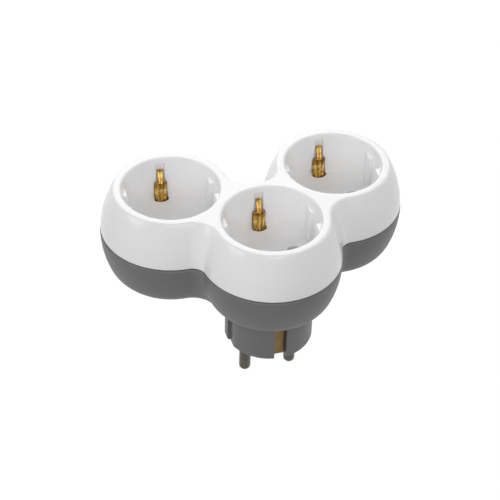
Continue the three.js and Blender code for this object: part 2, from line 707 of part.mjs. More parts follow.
function makeEarthStrap() {
  const half = STRAP_WIDTH / 2;
  const reach = SPRING_FOOT_RADIUS + FIT;
  const heights = [strapBottom, cupBottom];
  const runs = Object.values(lobes).map((lobe) => (
    block([lobe.x - half, lobe.x + half], [lobe.y - reach, lobe.y + reach], heights)
  ));
  const cross = block([leftLobe.x, rightLobe.x], [STRAP_CROSS_Y - half, STRAP_CROSS_Y + half], heights);
  return join([...runs, cross]);
}

addPiece('earth_strap', makeEarthStrap(), finishes.brass);

// Earth springs: sheet brass stamped with ridges, bulged into the well and bent back at the
// top into a narrow tongue that stands in the wall's pocket

// A bent sheet: rows of points across its front, each with a matching point on its back
function sheet(frontRows, backRows) {
  const across = frontRows[0].length;
  const rows = frontRows.map((row, j) => [...row, ...backRows[j].slice().reverse()]);
  const around = 2 * across;
  const index = [];
  for (let j = 0; j < rows.length - 1; j += 1) {
    for (let i = 0; i < around; i += 1) {
      const a = j * around + i;
      const b = j * around + (i + 1) % around;
      index.push(a, b, b + around, a, b + around, a + around);
    }
  }
  const last = (rows.length - 1) * around;
  for (let i = 0; i < across - 1; i += 1) {
    const opposite = around - 1 - i;
    index.push(i, opposite - 1, i + 1, i, opposite, opposite - 1);
    index.push(last + i, last + i + 1, last + opposite - 1, last + i, last + opposite - 1, last + opposite);
  }
  const geometry = new THREE.BufferGeometry();
  geometry.setAttribute('position', new THREE.Float32BufferAttribute(rows.flat(2), 3));
  geometry.setIndex(index);
  return solid(geometry);
}

function makeEarthSpring(lobe, end) {
  const tipHeight = bodyTop - SPRING_TOP;
  const crest = wellFloor + SPRING_CREST_HEIGHT;
  const pad = SPRING_WIDTH / 2;
  const tongue = SPRING_TONGUE_WIDTH / 2;
  const bends = SPRING_BENDS.map(([share, out, camber]) => (
    [SPRING_CREST_RADIUS + out, wellFloor + share * SPRING_CREST_HEIGHT, pad, camber]
  ));
  // Radius in the well, height, half width and share of the camber, from the stem up
  const path = [
    [SPRING_STEM_RADIUS, cupBottom, pad, 0],
    [SPRING_STEM_RADIUS, wellFloor, pad, 0],
    ...bends,
    [SPRING_CREST_RADIUS + SPRING_NECK_OUT, crest + SPRING_THICKNESS, tongue, SPRING_TONGUE_CAMBER],
    [SPRING_TIP_RADIUS, tipHeight, tongue, SPRING_TONGUE_CAMBER],
  ];
  const rowsAt = (setBack) => path.map(([radius, height, half, share]) => (
    evenly(-1, 1, 2 * SPRING_RIDGES).map((part) => {
      const ridge = SPRING_RIDGE * Math.sin(Math.PI * SPRING_RIDGES * (part + 1) / 2) ** 2;
      const bulge = share * (SPRING_CAMBER * part ** 2 - ridge);
      return [part * half, radius + bulge + setBack, height];
    })
  ));
  const standingPart = sheet(rowsAt(0), rowsAt(SPRING_THICKNESS));
  const foot = block(
    [-pad, pad],
    [SPRING_STEM_RADIUS, SPRING_FOOT_RADIUS],
    [cupBottom, cupBottom + SPRING_THICKNESS],
  );
  const facing = standingPart.add(foot);
  const turnedToEnd = end > 0 ? facing : facing.rotate([0, 0, 180]);
  return turnedToEnd.translate(lobe.x, lobe.y, 0);
}

for (const [name, lobe] of Object.entries(lobes)) {
  addPiece(`${name}_socket_back_earth_spring`, makeEarthSpring(lobe, 1), finishes.brass);
  addPiece(`${name}_socket_front_earth_spring`, makeEarthSpring(lobe, -1), finishes.brass);
}

// Plug earth contacts: brass strips in the nose's slots that run up to the strap

function makePlugEarth(end) {
  const half = EARTH_SLOT_WIDTH / 2 - FIT;
  const reach = [end * earthSlotFloor, end * (earthSlotFloor + PLUG_EARTH_THICKNESS)];
  return block([-half, half], reach, [PLUG_EARTH_START, strapBottom]);
}

addPiece('plug_earth_contact_front', makePlugEarth(-1), finishes.brass);
addPiece('plug_earth_contact_back', makePlugEarth(1), finishes.brass);

// Insulating plate: keeps the strap off the pole clips and rests on the base's bosses

function makeInsulatingPlate() {
  const shape = new THREE.Shape(outline(skinRadius(plateBottom, WALL) - FIT));
  const plate = slab(shape, plateBottom, strapBottom);
  const through = [plateBottom - PAST, strapBottom + PAST];
  const windows = Object.values(lobes).flatMap((lobe) => [-1, 1].map((side) => (
    rod(PLATE_WINDOW_RADIUS, ...through, fromLobe(lobe, side * halfPins, 0))
  )));
  const bossHoles = bosses.map((place) => rod(COVER_BOSS_RADIUS + FIT, ...through, place));
  const half = EARTH_SLOT_WIDTH / 2;
  const earthHoles = [1, -1].map((end) => {
    const inner = earthSlotFloor - FIT;
    const outer = earthSlotFloor + PLUG_EARTH_THICKNESS + FIT;
    return block([-half, half], [end * inner, end * outer], through);
  });
  return cut(plate, [...windows, ...bossHoles, ...earthHoles]);
}

addPiece('insulating_plate', makeInsulatingPlate(), finishes.cream);

// Case screws: cross-recessed, driven from below through the base into the cover

function makeScrew(place) {
  const headBottom = screwSeat - SCREW_HEAD_HEIGHT;
  const pointTop = plateBottom + SCREW_BITE;
  const screw = turned([
    [0, headBottom],
    [SCREW_HEAD_RADIUS - SCREW_HEAD_CHAMFER, headBottom],
    [SCREW_HEAD_RADIUS, headBottom + SCREW_HEAD_CHAMFER],
    [SCREW_HEAD_RADIUS, screwSeat],
    [SCREW_RADIUS, screwSeat],
    [SCREW_RADIUS, pointTop - SCREW_POINT],
    [SCREW_RADIUS - SCREW_POINT, pointTop],
    [0, pointTop],
  ], SMALL_SEGMENTS, place);
  const long = CROSS_SPAN / 2;
  const short = CROSS_WIDTH / 2;
  const recess = [[long, short], [short, long]].map(([x, y]) => (
    block([-x, x], [-y, y], [headBottom - PAST, headBottom + CROSS_DEPTH]).translate(place.x, place.y, 0)
  ));
  return cut(screw, recess);
}

bosses.forEach((place, i) => addPiece(`case_screw_${bossNames[i]}`, makeScrew(place), finishes.steel));

export default adapter;
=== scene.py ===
# Looks of the triple socket adapter: a glossy white three-lobed cover with three recessed
# wells, a satin grey base with the plug nose, nickel pins and brass earth contacts.
# Sizes are in millimetres and become metres where a mesh is made.

import math

import bmesh
import bpy
from mathutils import Matrix, Vector


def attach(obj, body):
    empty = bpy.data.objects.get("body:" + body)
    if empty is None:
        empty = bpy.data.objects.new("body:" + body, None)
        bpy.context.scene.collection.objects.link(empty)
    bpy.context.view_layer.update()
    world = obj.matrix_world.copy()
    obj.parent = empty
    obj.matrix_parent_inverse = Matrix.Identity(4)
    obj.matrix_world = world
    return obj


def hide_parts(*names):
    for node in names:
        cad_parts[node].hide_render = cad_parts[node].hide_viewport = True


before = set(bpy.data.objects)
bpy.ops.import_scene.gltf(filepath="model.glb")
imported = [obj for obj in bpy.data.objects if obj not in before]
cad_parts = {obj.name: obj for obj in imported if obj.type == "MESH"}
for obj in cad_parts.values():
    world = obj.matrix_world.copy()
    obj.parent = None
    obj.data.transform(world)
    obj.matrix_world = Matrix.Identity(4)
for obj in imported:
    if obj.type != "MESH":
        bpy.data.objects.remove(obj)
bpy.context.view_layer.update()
MM = 0.001
scene = bpy.context.scene


# Camera: the photograph's view, from above and a little to the left of the front. It was
# fitted to the rims, the parting line and the pin tips, and is rolled by under two degrees.

CAMERA_AZIMUTH = -16.56
CAMERA_ELEVATION = 40.16
CAMERA_ROLL = 1.64
CAMERA_DISTANCE = 647.8
CAMERA_AIM = Vector((-10.26, -5.49, 49.3))
CAMERA_LENS = 120.77
CAMERA_SENSOR = 36
CAMERA_NEAR = 10

azimuth = math.radians(CAMERA_AZIMUTH)
elevation = math.radians(CAMERA_ELEVATION)
flat = math.cos(elevation)
backward = Vector((math.sin(azimuth) * flat, -math.cos(azimuth) * flat, math.sin(elevation)))
camera_data = bpy.data.cameras.new("camera")
camera_data.lens = CAMERA_LENS
camera_data.sensor_width = CAMERA_SENSOR
camera_data.clip_start = CAMERA_NEAR * MM
camera = bpy.data.objects.new("camera", camera_data)
scene.collection.objects.link(camera)
rightward = Vector((math.cos(azimuth), math.sin(azimuth), 0))
upward = backward.cross(rightward)
roll = Matrix.Rotation(math.radians(CAMERA_ROLL), 3, "Z")
turn = Matrix((rightward, upward, backward)).transposed() @ roll
camera.matrix_world = Matrix.Translation((CAMERA_AIM + backward * CAMERA_DISTANCE) * MM) @ turn.to_4x4()
scene.camera = camera


# Body outline: three round lobes joined by two arms. Each lobe is a barrel on its own axis,
# and the hollow between two lobes is an arc whose centre stays put from top to bottom. The
# rule is a node tree: it sweeps a profile of (lobe radius, height) points round the outline.

LOBE_RADIUS = 28.3
ARM_LENGTH = 43.65
ARM_ANGLE = 100.94
FRONT_FILLET = 5.5
BACK_FILLET = 3.5
BODY_LOW = 17.5
BODY_HIGH = 59
BARREL_RADIUS = 40
EQUATOR = 39
UNDER_ROUND = 11
EDGE_ROUND = 1.2
STEPS_PER_ARC = 48
ARCS = 8


def add(tree, kind, inputs=None, out=0, **settings):
    """Adds a node with its settings, links or fills its inputs, and returns one output."""
    made = tree.nodes.new(kind)
    for key, value in settings.items():
        setattr(made, key, value)
    for key, value in (inputs or {}).items():
        sources = value if isinstance(value, list) else [value]
        if not isinstance(sources[0], bpy.types.NodeSocket):
            made.inputs[key].default_value = value
            continue
        for source in sources:
            tree.links.new(source, made.inputs[key])
    return made.outputs[out] if made.outputs else made


def part_of(tree, vector, axis):
    return add(tree, "ShaderNodeSeparateXYZ", {0: vector}, out=axis)


def stored(tree, geometry, name, value):
    """Keeps a number for each point of a geometry under a name."""
    return add(tree, "GeometryNodeStoreNamedAttribute",
               {"Geometry": geometry, "Name": name, "Value": value}, data_type="FLOAT")


def recalled(tree, name):
    return add(tree, "GeometryNodeInputNamedAttribute", {"Name": name}, data_type="FLOAT")


def sampled(tree, geometry, value, index, kind="FLOAT"):
    """The value that one point of another geometry has, by the point's number."""
    return add(tree, "GeometryNodeSampleIndex",
               {"Geometry": geometry, "Value": value, "Index": index}, data_type=kind)


def end_tree(tree, geometry, material):
    """Makes the geometry real mesh, gives it its material and hands it out of the tree."""
    whole = add(tree, "GeometryNodeRealizeInstances", {0: geometry})
    finished = add(tree, "GeometryNodeSetMaterial", {"Geometry": whole, "Material": material})
    tree.links.new(finished, tree.nodes.new("NodeGroupOutput").inputs[0])


def sweep_tree():
    """Sweeps a profile of (lobe radius, height) points round the body's outline."""
    tree = bpy.data.node_groups.new("lobed_body_sweep", "GeometryNodeTree")
    tree.interface.new_socket("Profile", in_out="INPUT", socket_type="NodeSocketGeometry")
    for name in ("Lobe radius", "Arm length", "Arm half angle", "Front fillet", "Back fillet"):
        tree.interface.new_socket(name, in_out="INPUT", socket_type="NodeSocketFloat")
    tree.interface.new_socket("Steps per arc", in_out="INPUT", socket_type="NodeSocketInt")
    tree.interface.new_socket("Material", in_out="INPUT", socket_type="NodeSocketMaterial")
    tree.interface.new_socket("Body", in_out="OUTPUT", socket_type="NodeSocketGeometry")
    given = tree.nodes.new("NodeGroupInput").outputs

    def maths(operation, *values):
        return add(tree, "ShaderNodeMath", dict(enumerate(values)), operation=operation)

    def minus(value):
        return maths("MULTIPLY", value, -1.0)

    def pair(x, y):
        return add(tree, "ShaderNodeCombineXYZ", {0: x, 1: y})

    lobe, arm, half = given["Lobe radius"], given["Arm length"], given["Arm half angle"]
    steps = given["Steps per arc"]
    around = maths("MULTIPLY", steps, ARCS)
    rings = add(tree, "GeometryNodeAttributeDomainSize", {0: given["Profile"]}, out="Point Count")
    last_ring = maths("SUBTRACT", rings, 1)

    # One sheet of vertices, a column for each step round and a row for each profile point
    sheet = add(tree, "GeometryNodeMeshGrid", {
        "Size X": around, "Size Y": last_ring,
        "Vertices X": maths("ADD", around, 1), "Vertices Y": rings,
    })
    place = add(tree, "GeometryNodeInputPosition")
    sheet_column = maths("ADD", part_of(tree, place, "X"), maths("MULTIPLY", around, 0.5))
    column = maths("FLOORED_MODULO", maths("ROUND", sheet_column), around)
    row = maths("ROUND", maths("ADD", part_of(tree, place, "Y"), maths("MULTIPLY", last_ring, 0.5)))

    # A lid closes each end, and every vertex keeps its step round the outline and its ring
    index = add(tree, "GeometryNodeInputIndex")
    lid = add(tree, "GeometryNodeMeshCircle", {"Vertices": around, "Radius": 1.0}, fill_type="NGON")
    marked = []
    for surface, at_step, at_ring in ((sheet, column, row), (lid, index, 0.0), (lid, index, last_ring)):
        marked.append(stored(tree, stored(tree, surface, "step", at_step), "ring", at_ring))
    joined = add(tree, "GeometryNodeJoinGeometry", {0: marked})
    step = recalled(tree, "step")
    ring = recalled(tree, "ring")
    point = sampled(tree, given["Profile"], place, ring, "FLOAT_VECTOR")
    here = part_of(tree, point, "X")
    height = part_of(tree, point, "Z")
    drop = maths("SUBTRACT", lobe, here)

    # Angles at the triangle of two lobe centres and a fillet centre
    arm_turn = maths("SUBTRACT", math.pi / 2, half)
    front_reach = maths("ADD", lobe, given["Front fillet"])
    back_reach = maths("ADD", lobe, given["Back fillet"])
    half_arm = maths("MULTIPLY", arm, 0.5)
    front_lean = maths("ARCCOSINE", maths("DIVIDE", half_arm, front_reach))
    back_lean = maths("ARCCOSINE", maths("DIVIDE", half_arm, back_reach))
    front_turn = maths("SUBTRACT", arm_turn, front_lean)
    back_turn = maths("ADD", arm_turn, back_lean)
    front_sweep = maths("SUBTRACT", maths("MULTIPLY", front_lean, 2.0), math.pi)
    back_sweep = maths("SUBTRACT", maths("MULTIPLY", back_lean, 2.0), math.pi)
    lobe_sweep = maths("SUBTRACT", 2 * math.pi, maths("ADD", front_lean, back_lean))

    front_x = maths("MULTIPLY", front_reach, maths("COSINE", front_turn))
    front_y = maths("MULTIPLY", front_reach, maths("SINE", front_turn))
    back_x = maths("MULTIPLY", back_reach, maths("COSINE", back_turn))
    back_y = maths("MULTIPLY", back_reach, maths("SINE", back_turn))
    outer_x = maths("MULTIPLY", arm, maths("SINE", half))
    outer_y = maths("MULTIPLY", arm, maths("COSINE", half))
    front_fillet = maths("ADD", given["Front fillet"], drop)
    back_fillet = maths("ADD", given["Back fillet"], drop)

    # The eight arcs, anticlockwise from the middle lobe's front: centre, radius, start, sweep
    middle = pair(0.0, 0.0)
    middle_start = maths("SUBTRACT", -math.pi, front_turn)
    middle_front = maths("ADD", math.pi, maths("MULTIPLY", front_turn, 2.0))
    middle_back = maths("SUBTRACT", math.pi, maths("MULTIPLY", back_turn, 2.0))
    right_start = maths("ADD", maths("SUBTRACT", arm_turn, math.pi), front_lean)
    left_mirror = maths("SUBTRACT", math.pi, front_turn)
    left_start = maths("SUBTRACT", left_mirror, maths("MULTIPLY", front_lean, 2.0))
    arcs = [
        (middle, here, middle_start, middle_front),
        (pair(front_x, front_y), front_fillet, maths("ADD", front_turn, math.pi), front_sweep),
        (pair(outer_x, outer_y), here, right_start, lobe_sweep),
        (pair(back_x, back_y), back_fillet, maths("SUBTRACT", arm_turn, back_lean), back_sweep),
        (middle, here, back_turn, middle_back),
        (pair(minus(back_x), back_y), back_fillet, minus(back_turn), back_sweep),
        (pair(minus(outer_x), outer_y), here, maths("SUBTRACT", back_lean, arm_turn), lobe_sweep),
        (pair(minus(front_x), front_y), front_fillet, left_start, front_sweep),
    ]
    arc_number = maths("FLOOR", maths("DIVIDE", step, steps))
    along = maths("DIVIDE", maths("FLOORED_MODULO", step, steps), steps)
    chosen = []
    for field, kind in enumerate(("VECTOR", "FLOAT", "FLOAT", "FLOAT")):
        switch = tree.nodes.new("GeometryNodeIndexSwitch")
        switch.data_type = kind
        while len(switch.index_switch_items) < ARCS:
            switch.index_switch_items.new()
        tree.links.new(arc_number, switch.inputs["Index"])
        for number, arc in enumerate(arcs):
            tree.links.new(arc[field], switch.inputs[number + 1])
        chosen.append(switch.outputs[0])
    centre, radius, start, swept = chosen
    angle = maths("ADD", start, maths("MULTIPLY", swept, along))
    spoke = pair(maths("MULTIPLY", radius, maths("COSINE", angle)),
                 maths("MULTIPLY", radius, maths("SINE", angle)))
    lift = add(tree, "ShaderNodeCombineXYZ", {2: height})
    flat_place = add(tree, "ShaderNodeVectorMath", {0: centre, 1: spoke}, operation="ADD")
    target = add(tree, "ShaderNodeVectorMath", {0: flat_place, 1: lift}, operation="ADD")
    moved = add(tree, "GeometryNodeSetPosition", {"Geometry": joined, "Position": target})
    closed = add(tree, "GeometryNodeMergeByDistance", {"Geometry": moved, "Distance": 1e-7})
    end_tree(tree, closed, given["Material"])
    return tree


body_sweep = sweep_tree()
body_sizes = {
    "Lobe radius": LOBE_RADIUS * MM,
    "Arm length": ARM_LENGTH * MM,
    "Arm half angle": math.radians(ARM_ANGLE / 2),
    "Front fillet": FRONT_FILLET * MM,
    "Back fillet": BACK_FILLET * MM,
    "Steps per arc": STEPS_PER_ARC,
}


def new_object(name, mesh):
    made = bpy.data.objects.new(name, mesh)
    scene.collection.objects.link(made)
    return made


def frozen(source, name):
    """The evaluated mesh of an object as a plain new object, with the old one removed."""
    shapes = bpy.context.evaluated_depsgraph_get()
    mesh = bpy.data.meshes.new_from_object(source.evaluated_get(shapes))
    mesh.name = name
    old = source.data
    bpy.data.objects.remove(source)
    if old.users == 0:
        bpy.data.meshes.remove(old)
    return new_object(name, mesh)


def face_outwards(piece):
    loose = bmesh.new()
    loose.from_mesh(piece.data)
    bmesh.ops.remove_doubles(loose, verts=loose.verts, dist=1e-8)
    bmesh.ops.recalc_face_normals(loose, faces=loose.faces)
    loose.to_mesh(piece.data)
    loose.free()
    return piece


def run_tree(source, tree, values, name):
    """Runs a geometry tree on an object with its inputs set by name, and freezes the result."""
    modifier = source.modifiers.new("made", "NODES")
    modifier.node_group = tree
    for item in tree.interface.items_tree:
        if item.in_out == "INPUT" and item.name in values:
            modifier[item.identifier] = values[item.name]
    return frozen(source, name)


def swept_body(name, profile):
    """A closed body through the outline at each (lobe radius, height) of a profile."""
    mesh = bpy.data.meshes.new(name)
    points = [(radius * MM, 0, height * MM) for radius, height in profile]
    mesh.from_pydata(points, [(i, i + 1) for i in range(len(points) - 1)], [])
    return face_outwards(run_tree(new_object(name, mesh), body_sweep, body_sizes, name))


def spread(low, high, steps):
    return [low + (high - low) * i / steps for i in range(steps + 1)]


# Radius of a lobe at a height, on the skin or on a surface set in from it
barrel_centre = LOBE_RADIUS - BARREL_RADIUS


def round_centre(height, rounding):
    reach = BARREL_RADIUS - rounding
    return barrel_centre + math.sqrt(reach ** 2 - (height - EQUATOR) ** 2)


under_height = BODY_LOW + UNDER_ROUND
under_radius = round_centre(under_height, UNDER_ROUND)
under_slope = math.atan2(under_height - EQUATOR, under_radius - barrel_centre)
edge_height = BODY_HIGH - EDGE_ROUND
edge_radius = round_centre(edge_height, EDGE_ROUND)
edge_slope = math.atan2(edge_height - EQUATOR, edge_radius - barrel_centre)


def side_point(height, inset=0.0):
    side = BARREL_RADIUS - inset
    return barrel_centre + math.sqrt(side ** 2 - (height - EQUATOR) ** 2), height


def side_arc(low, high, steps, inset=0.0):
    return [side_point(height, inset) for height in spread(low, high, steps)]


def under_arc(steps, inset=0.0):
    rounding = UNDER_ROUND - inset
    return [(under_radius + rounding * math.cos(a), under_height + rounding * math.sin(a))
            for a in spread(-math.pi / 2, under_slope, steps)]


def edge_arc(steps):
    return [(edge_radius + EDGE_ROUND * math.cos(a), edge_height + EDGE_ROUND * math.sin(a))
            for a in spread(edge_slope, math.pi / 2, steps)]


def turned(name, profile, at=(0, 0), segments=96):
    """A turned solid from (radius, height) points that start and end on the axis."""
    loose = bmesh.new()
    rings = []
    for radius, height in profile:
        if radius == 0:
            rings.append([loose.verts.new((at[0] * MM, at[1] * MM, height * MM))])
            continue
        rings.append([loose.verts.new((
            (at[0] + radius * math.cos(2 * math.pi * i / segments)) * MM,
            (at[1] + radius * math.sin(2 * math.pi * i / segments)) * MM,
            height * MM)) for i in range(segments)])
    for low, high in zip(rings, rings[1:]):
        for i in range(segments):
            j = (i + 1) % segments
            corners = [low[i % len(low)], low[j % len(low)], high[j % len(high)], high[i % len(high)]]
            loose.faces.new(list(dict.fromkeys(corners)))
    bmesh.ops.recalc_face_normals(loose, faces=loose.faces)
    mesh = bpy.data.meshes.new(name)
    loose.to_mesh(mesh)
    loose.free()
    return new_object(name, mesh)


def prism(name, outline, depth, along="Y", at=(0, 0), level=0):
    """A straight prism with its outline across one axis, centred along that axis at a place."""
    loose = bmesh.new()
    ends = []
    for end in (-depth / 2, depth / 2):
        points = [{"X": (end, p, q), "Y": (p, end, q), "Z": (p, q, end)}[along] for p, q in outline]
        ends.append([loose.verts.new(((x + at[0]) * MM, (y + at[1]) * MM, (z + level) * MM))
                     for x, y, z in points])
    loose.faces.new(ends[0])
    loose.faces.new(ends[1])
    count = len(outline)
    for i in range(count):
        loose.faces.new((ends[0][i], ends[0][(i + 1) % count], ends[1][(i + 1) % count], ends[1][i]))
    bmesh.ops.recalc_face_normals(loose, faces=loose.faces)
    mesh = bpy.data.meshes.new(name)
    loose.to_mesh(mesh)
    loose.free()
    return new_object(name, mesh)


def combine(base, tools, operation, name):
    """Cuts or joins solids by boolean, one after the other, and freezes the result."""
    for tool in tools:
        step = base.modifiers.new("step", "BOOLEAN")
        step.operation = operation
        step.solver = "MANIFOLD"
        step.object = tool
    done = frozen(base, name)
    for tool in tools:
        mesh = tool.data
        bpy.data.objects.remove(tool)
        bpy.data.meshes.remove(mesh)
    return done


def smooth(piece, angle=30):
    piece.data.shade_smooth()
    piece.data.set_sharp_from_angle(angle=math.radians(angle))
    return piece


def rectangle(low, high):
    return [(low[0], low[1]), (high[0], low[1]), (high[0], high[1]), (low[0], high[1])]


def linear(code):
    """An sRGB hex colour as linear red, green, blue and alpha."""
    parts = [int(code[i:i + 2], 16) / 255 for i in (1, 3, 5)]
    return [c / 12.92 if c <= 0.04045 else ((c + 0.055) / 1.055) ** 2.4 for c in parts] + [1.0]


def new_material(name):
    made = bpy.data.materials.new(name)
    made.use_nodes = True
    made.node_tree.nodes.clear()
    return made, made.node_tree


def noise(tree, coords, scale, detail):
    """Soft noise in object space. Its scale counts patches in a metre, so 1000 is 1 mm."""
    return add(tree, "ShaderNodeTexNoise", {"Vector": coords, "Scale": scale, "Detail": detail}, out="Fac")


def blend(tree, share, low, high):
    """A colour that goes from one sRGB hex code to another with a share from 0 to 1."""
    return add(tree, "ShaderNodeMix", {0: share, 6: linear(low), 7: linear(high)}, out=2, data_type="RGBA")


def finish_material(tree, inputs):
    surface = add(tree, "ShaderNodeBsdfPrincipled", inputs)
    add(tree, "ShaderNodeOutputMaterial", {"Surface": surface})


# Top cover: one glossy white ABS moulding. The barrel-sided shell closes over three wells
# that hang from its top as cups. Each well has two guide flats on either side with a groove
# between them, two pin holes, and slots at the front and back for the earth springs.

# A cut runs this far past the faces that it opens, and a post this far into its wall
PAST = 1
# A rounding drawn with one point between its ends has it this share in from the corner
ROUND_MIDDLE = 0.3
PARTING = 39.6
PARTING_GAP = 0.4
WALL = 2.2
LIP_WIDTH = 0.9
LIP_HEIGHT = 1.6
RIM_BREAK = 0.5
WELL_RIM_RADIUS = 19.6
WELL_LEAD_RADIUS = 18.95
WELL_FLOOR_RADIUS = 18.55
WELL_FLOOR = 40.7
WELL_FLOOR_THICKNESS = 2.0
WELL_RIM_ROUND = 0.8
WELL_FLOOR_ROUND = 0.5
WELL_STEPS = 180
CUP_STEPS = 144
CUP_WALL = 1.8
GUIDE_FLAT = 16.7
GUIDE_DRAFT = 0.25
GUIDE_START = 3.6
GUIDE_ROUND = 0.25
GUIDE_REACH = 12
GROOVE_HALF = 3.5
PIN_SPACING = 19
PIN_HOLE_RADIUS = 2.75
PIN_HOLE_FLARE = 0.35
HOLE_STEPS = 48
SLOT_TOP = 2.2
SLOT_NECK = 10.2
SLOT_SHOULDER = 11.5
SLOT_NARROW = 1.85
SLOT_WIDE = 2.8
SLOT_BACK = 20.2
FLOOR_SLOT_HALF = 3.0
POCKET_WALL = 1.2
SLOT_FLOOR_INSIDE = 14.4
SLOT_FLOOR_BOW = 1.4
SLOT_FLOOR_OUTSIDE = 17.6

half_arm_angle = math.radians(ARM_ANGLE / 2)
lobes = [
    (-ARM_LENGTH * math.sin(half_arm_angle), ARM_LENGTH * math.cos(half_arm_angle)),
    (0.0, 0.0),
    (ARM_LENGTH * math.sin(half_arm_angle), ARM_LENGTH * math.cos(half_arm_angle)),
]
cup_bottom = WELL_FLOOR - WELL_FLOOR_THICKNESS
cover_bottom = PARTING + PARTING_GAP


def white_abs():
    """Gloss white ABS, moulded in a polished tool: a hard clean shine over an orange peel 4 mm wide."""
    material, tree = new_material("gloss_white_abs")
    coords = add(tree, "ShaderNodeTexCoord", out="Object")
    peel = noise(tree, coords, 260.0, 2.0)
    cloud = noise(tree, coords, 45.0, 2.0)
    tint = blend(tree, cloud, "#F1F1F1", "#F6F6F7")
    rough = add(tree, "ShaderNodeMapRange", {"Value": cloud, "To Min": 0.16, "To Max": 0.22})
    bump = add(tree, "ShaderNodeBump", {"Height": peel, "Strength": 0.03, "Distance": 0.0004})
    finish_material(tree, {"Base Color": tint, "Roughness": rough, "Normal": bump, "IOR": 1.53})
    return material


gloss_white = white_abs()
cover_edge = side_point(cover_bottom)[0]
cover_rim = [(cover_edge - RIM_BREAK * (1 - math.cos(a)), cover_bottom + RIM_BREAK * (1 - math.sin(a)))
             for a in spread(math.pi / 2, math.pi / 10, 4)]
skin = swept_body("cover_skin", [
    *cover_rim,
    *side_arc(cover_bottom + RIM_BREAK, EQUATOR + BARREL_RADIUS * math.sin(edge_slope), 14)[:-1],
    *edge_arc(8),
])
hollow = swept_body("cover_hollow", side_arc(cover_bottom - PAST, BODY_HIGH - WALL, 6, WALL))
rabbet = swept_body("cover_rabbet", side_arc(cover_bottom - PAST, PARTING + LIP_HEIGHT, 1, LIP_WIDTH))
cover = combine(skin, [hollow, rabbet], "DIFFERENCE", "cover_shell")
cups = [turned("cup", [
    (0, cup_bottom), (WELL_FLOOR_RADIUS + CUP_WALL, cup_bottom),
    (WELL_RIM_RADIUS + CUP_WALL, BODY_HIGH - WALL / 2), (0, BODY_HIGH - WALL / 2),
], lobe, CUP_STEPS) for lobe in lobes]
pocket_half = FLOOR_SLOT_HALF + POCKET_WALL
pocket_reach = SLOT_BACK + POCKET_WALL
pockets = [prism("pocket", rectangle((-pocket_half, cup_bottom), (pocket_half, BODY_HIGH - WALL / 2)),
                 pocket_reach - WELL_FLOOR_RADIUS, "Y",
                 (lobe[0], lobe[1] + end * (pocket_reach + WELL_FLOOR_RADIUS) / 2))
           for lobe in lobes for end in (-1, 1)]
cover = combine(cover, cups + pockets, "UNION", "cover_with_cups")


def well_cutter(lobe):
    """The room in one well: a slightly tapered bowl less the four guide flats."""
    mouth = WELL_RIM_RADIUS + WELL_RIM_ROUND
    top = BODY_HIGH - GUIDE_START
    rim_round = [(mouth - WELL_RIM_ROUND * math.cos(a), BODY_HIGH - WELL_RIM_ROUND * (1 - math.sin(a)))
                 for a in spread(0, math.pi / 2, 8)]
    floor_round = [(WELL_FLOOR_RADIUS - WELL_FLOOR_ROUND * (1 - math.sin(a)),
                    WELL_FLOOR + WELL_FLOOR_ROUND * (1 - math.cos(a)))
                   for a in spread(0, math.pi / 2, 4)]
    bowl = turned("well", [
        (0, WELL_FLOOR), *floor_round, (WELL_LEAD_RADIUS, top), *rim_round,
        (mouth, BODY_HIGH + PAST), (0, BODY_HIGH + PAST),
    ], segments=WELL_STEPS)
    guides = []
    for side in (-1, 1):
        for end in (-1, 1):
            outline = [(side * x, z) for x, z in (
                (GUIDE_FLAT - GUIDE_DRAFT, WELL_FLOOR - PAST), (mouth + PAST, WELL_FLOOR - PAST),
                (mouth + PAST, top), (GUIDE_FLAT + GUIDE_ROUND, top),
                (GUIDE_FLAT + GUIDE_ROUND * ROUND_MIDDLE, top - GUIDE_ROUND * ROUND_MIDDLE),
                (GUIDE_FLAT, top - GUIDE_ROUND),
            )]
            middle = end * (GROOVE_HALF + GUIDE_REACH) / 2
            guides.append(prism("guide", outline, GUIDE_REACH - GROOVE_HALF, "Y", (0, middle)))
    cutter = combine(bowl, guides, "DIFFERENCE", "well_cutter")
    cutter.data.transform(Matrix.Translation((lobe[0] * MM, lobe[1] * MM, 0)))
    return cutter


def slot_cutters(lobe):
    """Slots for the two earth springs: a stepped one in the wall and a bowed one in the floor."""
    front = [
        (-SLOT_NARROW, BODY_HIGH - SLOT_TOP), (SLOT_NARROW, BODY_HIGH - SLOT_TOP),
        (SLOT_NARROW, BODY_HIGH - SLOT_NECK), (SLOT_WIDE, BODY_HIGH - SLOT_SHOULDER),
        (SLOT_WIDE, WELL_FLOOR), (-SLOT_WIDE, WELL_FLOOR),
        (-SLOT_WIDE, BODY_HIGH - SLOT_SHOULDER), (-SLOT_NARROW, BODY_HIGH - SLOT_NECK),
    ]
    floor_middle = WELL_FLOOR - WELL_FLOOR_THICKNESS / 2
    floor_cut = WELL_FLOOR_THICKNESS + 2 * PAST
    made = []
    for end in (-1, 1):
        wall_middle = lobe[1] + end * (SLOT_BACK + GUIDE_FLAT) / 2
        made.append(prism("wall_slot", front, SLOT_BACK - GUIDE_FLAT, "Y", (lobe[0], wall_middle)))
        bow = [(x, end * (SLOT_FLOOR_INSIDE + SLOT_FLOOR_BOW * (x / FLOOR_SLOT_HALF) ** 2))
               for x in spread(-FLOOR_SLOT_HALF, FLOOR_SLOT_HALF, 12)]
        outside = end * SLOT_FLOOR_OUTSIDE
        floor_slot = [*bow, (FLOOR_SLOT_HALF, outside), (-FLOOR_SLOT_HALF, outside)]
        made.append(prism("floor_slot", floor_slot, floor_cut, "Z", lobe, floor_middle))
    return made


